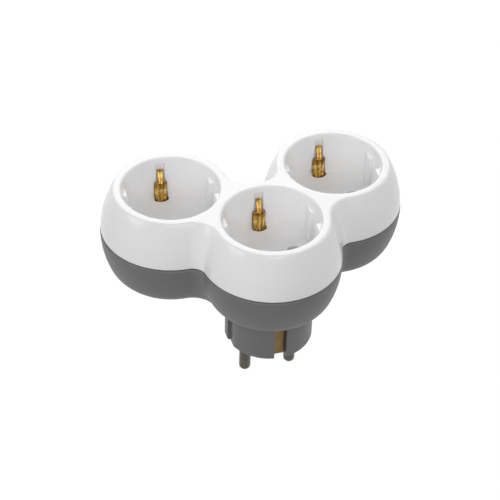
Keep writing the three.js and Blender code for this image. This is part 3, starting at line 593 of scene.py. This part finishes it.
def hole_cutter(place):
    """A pin hole through the well's floor with a flared mouth."""
    mouth = PIN_HOLE_RADIUS + PIN_HOLE_FLARE
    middle = PIN_HOLE_FLARE * ROUND_MIDDLE
    return turned("pin_hole", [
        (0, cup_bottom - PAST), (PIN_HOLE_RADIUS, cup_bottom - PAST),
        (PIN_HOLE_RADIUS, WELL_FLOOR - PIN_HOLE_FLARE), (PIN_HOLE_RADIUS + middle, WELL_FLOOR - middle),
        (mouth, WELL_FLOOR), (mouth, WELL_FLOOR + PAST), (0, WELL_FLOOR + PAST),
    ], place, HOLE_STEPS)


for lobe in lobes:
    holes = [hole_cutter((lobe[0] + side * PIN_SPACING / 2, lobe[1])) for side in (-1, 1)]
    cover = combine(cover, [well_cutter(lobe), *slot_cutters(lobe), *holes], "DIFFERENCE", "cover_cut")
cover.name = "top_cover_shell"
cover.data.name = "top_cover_shell"
cover.data.materials.clear()
cover.data.materials.append(gloss_white)
smooth(cover, 25)
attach(cover, "root")
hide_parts("top_cover")


# Base shell: one satin grey ABS moulding, a round-bottomed bowl that runs into the plug
# nose. The nose has flats with a guide fin on either side, a slot at the front and back for
# the earth contacts, and bores for the pins. Four screw recesses open in the underside.

PLUG_RADIUS = 17.9
PLUG_FLAT = 16.3
PLUG_EDGE_ROUND = 1.4
FIN_HALF = 2.1
FIN_LIFT = 0.4
FIN_END_ROUND = 1.5
NOSE_WALL = 1.8
NOSE_STEPS = 144
BASE_RIM_BREAK = 0.7
BASE_PROUD = 0.15
LIP_GAP = 0.3
EARTH_SLOT_HALF = 2.5
EARTH_SLOT_CORNER = 1.0
EARTH_SLOT_FLOOR = 14.3
EARTH_SLOT_STOP = 1.2
SLOT_BACK_DEPTH = 4
PASSAGE_LOW = 15.1
PASSAGE_DEPTH = 1.1
NOSE_FACE = 6
NOSE_CAVITY = 14.5
PIN_BORE = 2.7
PIN_BORE_FLARE = 0.3
PIN_BOSS = 4.2
PIN_BOSS_LOW = 0.5
PIN_BOSS_HIGH = 9
BOSS_OFFSET = (8.5, 11.5)
BOSS_RADIUS = 4.5
BOSS_HIGH = 35.7
BOSS_STEPS = 40
RECESS_RADIUS = 3.3
RECESS_HIGH = 27.5
SCREW_BORE = 1.75


def rod(radius, low, high):
    return [(0, low), (radius, low), (radius, high), (0, high)]


def grey_abs():
    """Satin grey ABS from a spark-eroded tool. Its grain is 0.4 mm, coarser than the real 0.1 mm."""
    material, tree = new_material("satin_grey_abs")
    coords = add(tree, "ShaderNodeTexCoord", out="Object")
    grain = noise(tree, coords, 2400.0, 3.0)
    cloud = noise(tree, coords, 60.0, 3.0)
    tint = blend(tree, cloud, "#656567", "#6E6E70")
    rough = add(tree, "ShaderNodeMapRange", {"Value": grain, "To Min": 0.42, "To Max": 0.56})
    bump = add(tree, "ShaderNodeBump", {"Height": grain, "Strength": 0.12, "Distance": 0.0001})
    finish_material(tree, {"Base Color": tint, "Roughness": rough, "Normal": bump, "IOR": 1.5})
    return material


satin_grey = grey_abs()
bosses = []
for lobe in (lobes[0], lobes[2]):
    outer = math.copysign(1, lobe[0])
    bosses.append((lobe[0] + outer * BOSS_OFFSET[0], lobe[1] - BOSS_OFFSET[1]))
    bosses.append((lobe[0] - outer * BOSS_OFFSET[0], lobe[1] + BOSS_OFFSET[1]))
side_begins = EQUATOR + BARREL_RADIUS * math.sin(under_slope)
base_edge = side_point(PARTING)[0] + BASE_PROUD
base_rim = [(base_edge - BASE_RIM_BREAK * (1 - math.cos(a)), PARTING - BASE_RIM_BREAK * (1 - math.sin(a)))
            for a in spread(math.pi / 12, math.pi / 2, 6)]
bowl = swept_body("base_skin", [
    *under_arc(16, -BASE_PROUD),
    *side_arc(side_begins, PARTING - BASE_RIM_BREAK, 12, -BASE_PROUD)[1:],
    *base_rim,
])
lip = swept_body("base_lip", side_arc(PARTING - PAST, PARTING + LIP_HEIGHT, 2, LIP_WIDTH + LIP_GAP))
nose_round = [(PLUG_RADIUS - PLUG_EDGE_ROUND * (1 - math.sin(a)), PLUG_EDGE_ROUND * (1 - math.cos(a)))
              for a in spread(0, math.pi / 2, 8)]
nose_high = BODY_LOW + WALL / 2
nose = turned("nose", [(0, 0), *nose_round, (PLUG_RADIUS, nose_high), (0, nose_high)], segments=NOSE_STEPS)

# The flats leave a fin on either side, and the fins stop short of the nose's face
clear = PLUG_RADIUS + PAST
fin_end = [(PLUG_RADIUS - FIN_END_ROUND * (1 - math.sin(a)), FIN_LIFT + FIN_END_ROUND * (1 - math.cos(a)))
           for a in spread(0, math.pi / 2, 8)]
fin_outline = [(PLUG_FLAT, -PAST), (PLUG_FLAT, FIN_LIFT), *fin_end,
               (clear, FIN_LIFT + FIN_END_ROUND), (clear, -PAST)]
nose_cuts = []
for side in (-1, 1):
    flat_middle = side * (PLUG_FLAT + clear) / 2
    for end in (-1, 1):
        low, high = sorted((end * FIN_HALF, end * clear))
        nose_cuts.append(prism("flat_cut", rectangle((low, -PAST), (high, BODY_LOW)),
                               clear - PLUG_FLAT, "X", (flat_middle, 0)))
    nose_cuts.append(prism("fin_cut", [(side * x, z) for x, z in fin_outline], 2 * (FIN_HALF + PAST)))

# Slots for the earth contacts, with a rounded mouth at the nose's face
mouth = [(EARTH_SLOT_HALF + EARTH_SLOT_CORNER * (1 - math.sin(a)), EARTH_SLOT_CORNER * (1 - math.cos(a)))
         for a in spread(0, math.pi / 2, 6)]
slot_side = [(EARTH_SLOT_HALF + EARTH_SLOT_CORNER, -PAST), *mouth,
             (EARTH_SLOT_HALF, BODY_LOW - EARTH_SLOT_STOP)]
slot_outline = slot_side + [(-x, z) for x, z in reversed(slot_side)]
for end in (-1, 1):
    slot_middle = end * (EARTH_SLOT_FLOOR + clear) / 2
    nose_cuts.append(prism("earth_slot", slot_outline, clear - EARTH_SLOT_FLOOR, "Y", (0, slot_middle)))
nose = combine(nose, nose_cuts, "DIFFERENCE", "nose_cut")
base = combine(bowl, [lip, nose], "UNION", "base_outside")
inner_begins = EQUATOR + (BARREL_RADIUS - WALL) * math.sin(under_slope)
inside = swept_body("base_hollow", [
    *under_arc(10, WALL),
    *side_arc(inner_begins, PARTING + LIP_HEIGHT + PAST, 8, WALL)[1:],
])

# The nose is hollow, but keeps a wall behind each earth slot
cavity = turned("nose_cavity", rod(NOSE_CAVITY, NOSE_FACE, BODY_LOW + WALL + PAST))
back_half = EARTH_SLOT_HALF + NOSE_WALL
back_middle = EARTH_SLOT_FLOOR - NOSE_WALL + SLOT_BACK_DEPTH / 2
slot_back = rectangle((-back_half, NOSE_FACE - PAST), (back_half, BODY_LOW + WALL))
slot_backs = [prism("slot_back", slot_back, SLOT_BACK_DEPTH, "Y", (0, end * back_middle)) for end in (-1, 1)]
cavity = combine(cavity, slot_backs, "DIFFERENCE", "nose_cavity_cut")
base = combine(base, [inside, cavity], "DIFFERENCE", "base_hollowed")

# Posts for the screws and the pins, then the bores through them and the earth passages
pin_places = [(side * PIN_SPACING / 2, 0) for side in (-1, 1)]
screw_post = rod(BOSS_RADIUS, BODY_LOW + PAST, BOSS_HIGH)
pin_post = rod(PIN_BOSS, PIN_BOSS_LOW, PIN_BOSS_HIGH)
posts = [turned("screw_boss", screw_post, place, BOSS_STEPS) for place in bosses]
posts += [turned("pin_boss", pin_post, place, BOSS_STEPS) for place in pin_places]
base = combine(base, posts, "UNION", "base_with_bosses")
pin_bore = [(0, -PAST), (PIN_BORE + PIN_BORE_FLARE, -PAST), (PIN_BORE + PIN_BORE_FLARE, 0),
            (PIN_BORE, PIN_BORE_FLARE), (PIN_BORE, PIN_BOSS_HIGH + PAST), (0, PIN_BOSS_HIGH + PAST)]
recess = [(0, BODY_LOW - PAST), (RECESS_RADIUS, BODY_LOW - PAST), (RECESS_RADIUS, RECESS_HIGH),
          (SCREW_BORE, RECESS_HIGH), (SCREW_BORE, BOSS_HIGH + PAST), (0, BOSS_HIGH + PAST)]
passage = rectangle((-EARTH_SLOT_HALF, PASSAGE_LOW), (EARTH_SLOT_HALF, BODY_LOW + WALL + PAST))
passage_middle = EARTH_SLOT_FLOOR + PASSAGE_DEPTH / 2
bores = [turned("pin_bore", pin_bore, place, HOLE_STEPS) for place in pin_places]
bores += [turned("recess", recess, place, BOSS_STEPS) for place in bosses]
bores += [prism("earth_passage", passage, PASSAGE_DEPTH, "Y", (0, end * passage_middle)) for end in (-1, 1)]
base = combine(base, bores, "DIFFERENCE", "base_shell_moulding")
base.data.materials.clear()
base.data.materials.append(satin_grey)
smooth(base, 25)
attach(base, "root")
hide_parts("base_shell")


# Brass strips, clips and plug contacts: sheet brass, stamped and bent, in the shapes of the
# frame. Inside the case it stays bright, and the two plug contacts have tarnished.

def stamped_brass(name, colour, worn, rough_low, rough_high):
    """Rolled sheet brass with streaks 0.7 mm wide, coarser than the real rolling lines."""
    material, tree = new_material(name)
    coords = add(tree, "ShaderNodeTexCoord", out="Object")
    stretched = add(tree, "ShaderNodeMapping", {"Vector": coords, "Scale": (1.0, 1.0, 0.12)})
    streaks = noise(tree, stretched, 1500.0, 3.0)
    patches = noise(tree, coords, 220.0, 3.0)
    tint = blend(tree, patches, colour, worn)
    rough = add(tree, "ShaderNodeMapRange", {"Value": patches, "To Min": rough_low, "To Max": rough_high})
    bump = add(tree, "ShaderNodeBump", {"Height": streaks, "Strength": 0.1, "Distance": 0.00005})
    finish_material(tree, {"Base Color": tint, "Metallic": 1.0, "Roughness": rough, "Normal": bump})
    return material


bright_brass = stamped_brass("stamped_brass", "#C8963F", "#B27F2F", 0.22, 0.34)
dull_brass = stamped_brass("tarnished_brass", "#85704C", "#6E5636", 0.3, 0.46)
for name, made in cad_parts.items():
    if name.endswith(("_clip", "_bar", "_strap")) or name.startswith("plug_earth"):
        made.data.materials.clear()
        made.data.materials.append(dull_brass if name.startswith("plug_earth") else bright_brass)


# Earth springs: sheet brass stamped with three ridges. A node tree bends the sheet along a
# path of (half width, radius, height) points: the pad rises through a slot in the well's
# floor and bulges inwards, and its top narrows to a tongue that stands in the wall's pocket.

SPRING_THICKNESS = 0.6
SPRING_HALF = 2.7
TONGUE_HALF = 1.2
SPRING_CAMBER = 1.3
SPRING_RIDGE = 0.3
SPRING_RIDGES = 3
STEM_RADIUS = 15
CREST_RADIUS = 16.4
CREST_RISE = 7.6
TIP_RADIUS = 19.2
TIP_HEIGHT = BODY_HIGH - 5.5
SPRING_ACROSS = 49
SPRING_ALONG = 90


def sprung_brass():
    """Bright spring brass: painted highlights turn the ridges clear gold, painted shade darkens the hollows.
    """
    material, tree = new_material("spring_brass_painted_light")
    coords = add(tree, "ShaderNodeTexCoord", out="Object")
    patches = noise(tree, coords, 700.0, 3.0)
    rubbed = add(tree, "ShaderNodeAttribute", attribute_name="rubbed", out="Fac")
    uneven = add(tree, "ShaderNodeMath", {0: patches, 1: 1.4, 2: -0.7}, operation="MULTIPLY_ADD")
    shown = add(tree, "ShaderNodeMath", {0: rubbed, 1: uneven}, operation="ADD", use_clamp=True)
    # The ramp goes from painted shade, dark brown, up to a painted highlight, pale gold
    ramp = tree.nodes.new("ShaderNodeValToRGB")
    stops = ramp.color_ramp.elements
    for stop, code in ((stops[0], "#5E3E16"), (stops.new(0.3), "#9C7234"),
                       (stops.new(0.62), "#C99D4C"), (stops[-1], "#F6D888")):
        stop.color = linear(code)
    tree.links.new(shown, ramp.inputs[0])
    rough = add(tree, "ShaderNodeMapRange", {"Value": shown, "To Min": 0.36, "To Max": 0.2})
    finish_material(tree, {"Base Color": ramp.outputs[0], "Metallic": 1.0, "Roughness": rough})
    return material


def spring_tree():
    """Bends a cambered, ridged sheet along a path and gives it its thickness."""
    tree = bpy.data.node_groups.new("bent_ridged_sheet", "GeometryNodeTree")
    tree.interface.new_socket("Path", in_out="INPUT", socket_type="NodeSocketGeometry")
    for name in ("Camber", "Ridge height", "Ridges", "Thickness", "Turn"):
        tree.interface.new_socket(name, in_out="INPUT", socket_type="NodeSocketFloat")
    for name in ("Steps across", "Steps along"):
        tree.interface.new_socket(name, in_out="INPUT", socket_type="NodeSocketInt")
    tree.interface.new_socket("Place", in_out="INPUT", socket_type="NodeSocketVector")
    tree.interface.new_socket("Material", in_out="INPUT", socket_type="NodeSocketMaterial")
    tree.interface.new_socket("Spring", in_out="OUTPUT", socket_type="NodeSocketGeometry")
    given = tree.nodes.new("NodeGroupInput").outputs

    def maths(operation, *values):
        return add(tree, "ShaderNodeMath", dict(enumerate(values)), operation=operation)

    # The path becomes a smooth curve with evenly spaced points, one for each row of the sheet
    chain = add(tree, "GeometryNodeMeshToCurve", {"Mesh": given["Path"]})
    bent = add(tree, "GeometryNodeCurveSplineType", {"Curve": chain}, spline_type="CATMULL_ROM")
    fine = add(tree, "GeometryNodeSetSplineResolution", {0: bent, "Resolution": 16})
    along = add(tree, "GeometryNodeResampleCurve", {"Curve": fine, "Count": given["Steps along"]})
    sheet = add(tree, "GeometryNodeMeshGrid", {
        "Size X": 2.0, "Size Y": 1.0,
        "Vertices X": given["Steps across"], "Vertices Y": given["Steps along"],
    })
    place = add(tree, "GeometryNodeInputPosition")
    across = part_of(tree, place, "X")
    last = maths("SUBTRACT", given["Steps along"], 1.0)
    row = maths("ROUND", maths("MULTIPLY", maths("ADD", part_of(tree, place, "Y"), 0.5), last))
    bend = sampled(tree, along, place, row, "FLOAT_VECTOR")
    camber = sampled(tree, along, recalled(tree, "camber"), row)

    # Each row bulges towards the well by its camber, and its ridges are waves on that
    ridges = maths("SUBTRACT", maths("ADD", given["Ridges"], camber), 1.0)
    phase = maths("MULTIPLY", maths("ADD", across, 1.0), maths("MULTIPLY", ridges, math.pi / 2))
    wave = maths("POWER", maths("SINE", phase), 2.0)
    bulge = maths("SUBTRACT", maths("MULTIPLY", given["Camber"], maths("MULTIPLY", across, across)),
                  maths("MULTIPLY", given["Ridge height"], wave))
    target = add(tree, "ShaderNodeCombineXYZ", {
        0: maths("MULTIPLY", across, part_of(tree, bend, "X")),
        1: maths("ADD", part_of(tree, bend, "Y"), maths("MULTIPLY", camber, bulge)),
        2: part_of(tree, bend, "Z"),
    })
    # Painted light for the material: a painted highlight on the ridge tops, painted shade in the hollows,
    # scaled by each row
    polish = sampled(tree, along, recalled(tree, "polish"), row)
    ridge_painted_light = add(tree, "ShaderNodeMath", {0: wave, 1: 0.5, 2: 0.6}, operation="MULTIPLY_ADD")
    marked = stored(tree, sheet, "rubbed", maths("MULTIPLY", polish, ridge_painted_light))
    face = add(tree, "GeometryNodeSetPosition", {"Geometry": marked, "Position": target})
    normal = add(tree, "GeometryNodeInputNormal")
    outward = add(tree, "ShaderNodeVectorMath", {0: normal, "Scale": -1.0}, operation="SCALE")
    back = add(tree, "GeometryNodeExtrudeMesh",
               {"Mesh": face, "Offset": outward, "Offset Scale": given["Thickness"], "Individual": False})
    front = add(tree, "GeometryNodeFlipFaces", {0: face})
    shell = add(tree, "GeometryNodeJoinGeometry", {0: [back, front]})
    closed = add(tree, "GeometryNodeMergeByDistance", {"Geometry": shell, "Distance": 1e-7})
    turn = add(tree, "ShaderNodeCombineXYZ", {2: given["Turn"]})
    placed = add(tree, "GeometryNodeTransform",
                 {"Geometry": closed, "Translation": given["Place"], "Rotation": turn})
    end_tree(tree, placed, given["Material"])
    return tree


spring_brass = sprung_brass()
spring_sheet = spring_tree()

# From the foot to the tip: half width, radius, height, share of the camber, painted light (low is painted
# shade, high a painted highlight)
spring_path = [
    (SPRING_HALF, 17, cup_bottom + 0.3, 0, 0.1),
    (SPRING_HALF, STEM_RADIUS + 0.4, cup_bottom + 0.3, 0, 0.1),
    (SPRING_HALF, STEM_RADIUS, cup_bottom + 0.7, 0.3, 0.1),
    (SPRING_HALF, STEM_RADIUS, WELL_FLOOR, 1.25, 0.35),
    (SPRING_HALF, CREST_RADIUS - 0.7, WELL_FLOOR + 0.2 * CREST_RISE, 1.25, 0.55),
    (SPRING_HALF, CREST_RADIUS, WELL_FLOOR + 0.45 * CREST_RISE, 1.1, 0.95),
    (SPRING_HALF, CREST_RADIUS + 0.1, WELL_FLOOR + 0.75 * CREST_RISE, 1, 0.6),
    (SPRING_HALF - 0.2, CREST_RADIUS + 0.3, WELL_FLOOR + 0.97 * CREST_RISE, 0.9, 0.35),
    (TONGUE_HALF, CREST_RADIUS + 0.6, WELL_FLOOR + CREST_RISE + 0.5, 0.15, 0.55),
    (TONGUE_HALF, TIP_RADIUS - 0.5, TIP_HEIGHT - 1.2, 0.05, 0.95),
    (TONGUE_HALF, TIP_RADIUS - 0.2, TIP_HEIGHT, 0.05, 0.7),
]
for name, lobe in zip(("left", "middle", "right"), lobes):
    for end, turn in (("back", 0.0), ("front", math.pi)):
        node = f"{name}_socket_{end}_earth_spring"
        mesh = bpy.data.meshes.new(node)
        mesh.from_pydata([(x * MM, y * MM, z * MM) for x, y, z, *_ in spring_path],
                         [(i, i + 1) for i in range(len(spring_path) - 1)], [])
        for attribute, column in (("camber", 3), ("polish", 4)):
            shares = mesh.attributes.new(attribute, "FLOAT", "POINT")
            shares.data.foreach_set("value", [point[column] for point in spring_path])
        spring = run_tree(new_object(node, mesh), spring_sheet, {
            "Camber": SPRING_CAMBER * MM, "Ridge height": SPRING_RIDGE * MM, "Ridges": float(SPRING_RIDGES),
            "Thickness": SPRING_THICKNESS * MM, "Turn": turn, "Steps across": SPRING_ACROSS,
            "Steps along": SPRING_ALONG, "Place": (lobe[0] * MM, lobe[1] * MM, 0.0), "Material": spring_brass,
        }, f"{name}_{end}_earth_spring")
        face_outwards(spring)
        smooth(spring, 40)
        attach(spring, "root")
        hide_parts(node)


# Plug pins: turned brass rods, nickel plated, with a rounded tip, a collar that seats on the
# pin's boss and a riveted end. The plating is dull, with fine turning lines round the rod.

PIN_RADIUS = 2.4
PIN_LENGTH = 19
PIN_TIP_FLAT = 0.3
COLLAR_RADIUS = 3.6
COLLAR_TOP = 10
SHANK_RADIUS = 2.0
SHANK_TOP = 20.2
RIVET_RADIUS = 1.5
RIVET_SEAT = 21.6
RIVET_HEAD = 2.4
RIVET_CHAMFER = 0.5
RIVET_TOP = 22.1
PIN_STEPS = 64


def plated_nickel():
    """Dull nickel plate over turned brass. Its rings are 0.35 mm apart, coarser than real ones."""
    material, tree = new_material("nickel_plated_brass")
    coords = add(tree, "ShaderNodeTexCoord", out="Object")
    rings = add(tree, "ShaderNodeTexWave", {"Vector": coords, "Scale": 900.0, "Distortion": 0.6},
                out="Fac", bands_direction="Z")
    patches = noise(tree, coords, 300.0, 3.0)
    tint = blend(tree, patches, "#625F57", "#504D45")
    rough = add(tree, "ShaderNodeMapRange", {"Value": patches, "To Min": 0.2, "To Max": 0.32})
    bump = add(tree, "ShaderNodeBump", {"Height": rings, "Strength": 0.06, "Distance": 0.00005})
    finish_material(tree, {"Base Color": tint, "Metallic": 1.0, "Roughness": rough, "Normal": bump})
    return material


nickel = plated_nickel()
tip_round = PIN_RADIUS - PIN_TIP_FLAT
pin_profile = [
    (0, -PIN_LENGTH),
    *[(PIN_RADIUS - tip_round * (1 - math.sin(a)), -PIN_LENGTH + tip_round * (1 - math.cos(a)))
      for a in spread(0, math.pi / 2, 12)],
    (PIN_RADIUS, PIN_BOSS_HIGH), (COLLAR_RADIUS, PIN_BOSS_HIGH), (COLLAR_RADIUS, COLLAR_TOP),
    (SHANK_RADIUS, COLLAR_TOP), (SHANK_RADIUS, SHANK_TOP), (RIVET_RADIUS, SHANK_TOP),
    (RIVET_RADIUS, RIVET_SEAT), (RIVET_HEAD, RIVET_SEAT),
    (RIVET_HEAD - RIVET_CHAMFER, RIVET_TOP), (0, RIVET_TOP),
]
for name, place in zip(("left", "right"), pin_places):
    pin = turned(f"{name}_plug_pin", pin_profile, place, PIN_STEPS)
    pin.data.materials.append(nickel)
    smooth(pin, 30)
    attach(pin, "root")
    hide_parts(f"plug_pin_{name}")


# Insulating plate: pressed board in the frame's shape. It rests on the base's screw posts and
# keeps the earth strap off the pin clips, which reach up into its windows.

def pressed_board():
    """Pressed insulating board: a dry cream sheet with a fibrous mottle about 1 mm wide."""
    material, tree = new_material("pressed_insulating_board")
    coords = add(tree, "ShaderNodeTexCoord", out="Object")
    fibres = noise(tree, coords, 900.0, 5.0)
    tint = blend(tree, fibres, "#CFC7AF", "#DDD6C2")
    bump = add(tree, "ShaderNodeBump", {"Height": fibres, "Strength": 0.2, "Distance": 0.0001})
    finish_material(tree, {"Base Color": tint, "Roughness": 0.8, "Normal": bump})
    return material


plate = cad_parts["insulating_plate"]
plate.data.materials.clear()
plate.data.materials.append(pressed_board())


# Case screws: four zinc-plated steel screws with a cross recess, driven from below through
# the base's posts. The posts in the cover that take them are out of sight and not made here.
# A node tree sets one copy in each recess.

SCREW_HEAD_HEIGHT = 1.9
SCREW_HEAD_RADIUS = 2.7
SCREW_HEAD_CHAMFER = 0.7
SCREW_HEAD_ROUND = (0.2, 0.3)
SCREW_RADIUS = 1.45
SCREW_POINT = 0.8
SCREW_TOP = 39.5
SCREW_STEPS = 40
SCREW_TURN = 25
CROSS_SPAN = 3.0
CROSS_WIDTH = 0.7
CROSS_DEPTH = 1.0


def zinc_steel():
    """Zinc-plated steel: pale grey metal with a slightly cloudy shine."""
    material, tree = new_material("zinc_plated_steel")
    coords = add(tree, "ShaderNodeTexCoord", out="Object")
    cloud = noise(tree, coords, 700.0, 3.0)
    tint = blend(tree, cloud, "#A9A9A6", "#BDBDBC")
    rough = add(tree, "ShaderNodeMapRange", {"Value": cloud, "To Min": 0.28, "To Max": 0.42})
    finish_material(tree, {"Base Color": tint, "Metallic": 1.0, "Roughness": rough})
    return material


def placing_tree():
    """Sets one copy of a solid at each point of a mesh."""
    tree = bpy.data.node_groups.new("copies_at_points", "GeometryNodeTree")
    tree.interface.new_socket("Points", in_out="INPUT", socket_type="NodeSocketGeometry")
    tree.interface.new_socket("Solid", in_out="INPUT", socket_type="NodeSocketObject")
    tree.interface.new_socket("Turn", in_out="INPUT", socket_type="NodeSocketFloat")
    tree.interface.new_socket("Material", in_out="INPUT", socket_type="NodeSocketMaterial")
    tree.interface.new_socket("Copies", in_out="OUTPUT", socket_type="NodeSocketGeometry")
    given = tree.nodes.new("NodeGroupInput").outputs
    solid = add(tree, "GeometryNodeObjectInfo", {"Object": given["Solid"]}, out="Geometry")
    index = add(tree, "GeometryNodeInputIndex")
    turned_by = add(tree, "ShaderNodeMath", {0: index, 1: given["Turn"]}, operation="MULTIPLY")
    turn = add(tree, "ShaderNodeCombineXYZ", {2: turned_by})
    copies = add(tree, "GeometryNodeInstanceOnPoints",
                 {"Points": given["Points"], "Instance": solid, "Rotation": turn})
    end_tree(tree, copies, given["Material"])
    return tree


screw_head = RECESS_HIGH - SCREW_HEAD_HEIGHT
screw_solid = turned("screw_solid", [
    (0, screw_head), (SCREW_HEAD_RADIUS - SCREW_HEAD_CHAMFER, screw_head),
    (SCREW_HEAD_RADIUS - SCREW_HEAD_ROUND[0], screw_head + SCREW_HEAD_ROUND[1]),
    (SCREW_HEAD_RADIUS, screw_head + SCREW_HEAD_CHAMFER), (SCREW_HEAD_RADIUS, RECESS_HIGH),
    (SCREW_RADIUS, RECESS_HIGH), (SCREW_RADIUS, SCREW_TOP - SCREW_POINT),
    (SCREW_RADIUS - SCREW_POINT, SCREW_TOP), (0, SCREW_TOP),
], segments=SCREW_STEPS)
cross = rectangle((-CROSS_SPAN / 2, screw_head - PAST), (CROSS_SPAN / 2, screw_head + CROSS_DEPTH))
cross_arms = [prism("cross", cross, CROSS_WIDTH, along) for along in ("X", "Y")]
screw_solid = combine(screw_solid, cross_arms, "DIFFERENCE", "screw_solid")
seats = bpy.data.meshes.new("screw_seats")
seats.from_pydata([(x * MM, y * MM, 0) for x, y in bosses], [], [])
screws = run_tree(new_object("screw_seats", seats), placing_tree(), {
    "Solid": screw_solid, "Turn": math.radians(SCREW_TURN), "Material": zinc_steel(),
}, "case_screws")
screw_mesh = screw_solid.data
bpy.data.objects.remove(screw_solid)
bpy.data.meshes.remove(screw_mesh)
smooth(screws, 30)
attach(screws, "root")
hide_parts("case_screw_left_front", "case_screw_left_back",
            "case_screw_right_front", "case_screw_right_back")


# Floor and light: a plain pale floor under the pin tips and soft studio light from above.
# To the camera the floor and the world are plain white, as in the photograph.

FLOOR_HEIGHT = -19.2
FLOOR_SIZE = 6000
FLOOR_SHOWN_WHITE = 0.85
FLOOR_WHITE_STRENGTH = 1.14
STUDIO_GLOW = 0.22
LIGHT_AIM = Vector((0, 0.01, 0.03))


def plainly_seen(tree):
    """1 for what the camera sees by itself or in a gloss, and 0 for scattered light."""
    camera_ray = add(tree, "ShaderNodeLightPath", out="Is Camera Ray")
    glossy_ray = add(tree, "ShaderNodeLightPath", out="Is Glossy Ray")
    return add(tree, "ShaderNodeMath", {0: camera_ray, 1: glossy_ray}, operation="MAXIMUM")


floor_mesh = bpy.data.meshes.new("floor")
half_floor = FLOOR_SIZE / 2 * MM
floor_mesh.from_pydata([(x * half_floor, y * half_floor, FLOOR_HEIGHT * MM)
                        for x, y in ((-1, -1), (1, -1), (1, 1), (-1, 1))], [], [(0, 1, 2, 3)])
floor = new_object("floor", floor_mesh)
paper, paper_tree = new_material("white_paper_floor")
paper_lit = add(paper_tree, "ShaderNodeBsdfPrincipled", {"Base Color": linear("#B4B4B4"), "Roughness": 0.9})
paper_white = add(paper_tree, "ShaderNodeEmission",
                  {"Color": linear("#FFFFFF"), "Strength": FLOOR_WHITE_STRENGTH})
white_share = add(paper_tree, "ShaderNodeMath",
                  {0: plainly_seen(paper_tree), 1: FLOOR_SHOWN_WHITE}, operation="MULTIPLY")
paper_seen = add(paper_tree, "ShaderNodeMixShader", {0: white_share, 1: paper_lit, 2: paper_white})
add(paper_tree, "ShaderNodeOutputMaterial", {"Surface": paper_seen})
floor.data.materials.append(paper)

world = bpy.data.worlds.new("studio")
scene.world = world
world.use_nodes = True
world.node_tree.nodes.clear()
sky_tree = world.node_tree
glow = add(sky_tree, "ShaderNodeBackground", {"Color": linear("#FFFFFF"), "Strength": STUDIO_GLOW})
seen_white = add(sky_tree, "ShaderNodeBackground", {"Color": linear("#FFFFFF"), "Strength": 1.0})
sky = add(sky_tree, "ShaderNodeMixShader", {0: plainly_seen(sky_tree), 1: glow, 2: seen_white})
add(sky_tree, "ShaderNodeOutputWorld", {"Surface": sky})


def soft_light(name, place, size, power):
    """A round soft box with its place and size in metres and its power in watts."""
    data = bpy.data.lights.new(name, "AREA")
    data.shape = "DISK"
    data.size = size
    data.energy = power
    lamp = bpy.data.objects.new(name, data)
    scene.collection.objects.link(lamp)
    lamp.location = place
    lamp.rotation_euler = (Vector(place) - LIGHT_AIM).to_track_quat("Z", "Y").to_euler()


soft_light("back_softbox", (0.05, 1.25, 0.85), 1.2, 10.6)
soft_light("front_softbox", (-0.1, -1.0, 0.85), 1.0, 5.8)
soft_light("left_softbox", (-1.2, -0.2, 0.6), 1.0, 5.4)
soft_light("right_softbox", (1.2, 0.1, 0.6), 1.0, 3.8)

scene.view_settings.view_transform = "Standard"
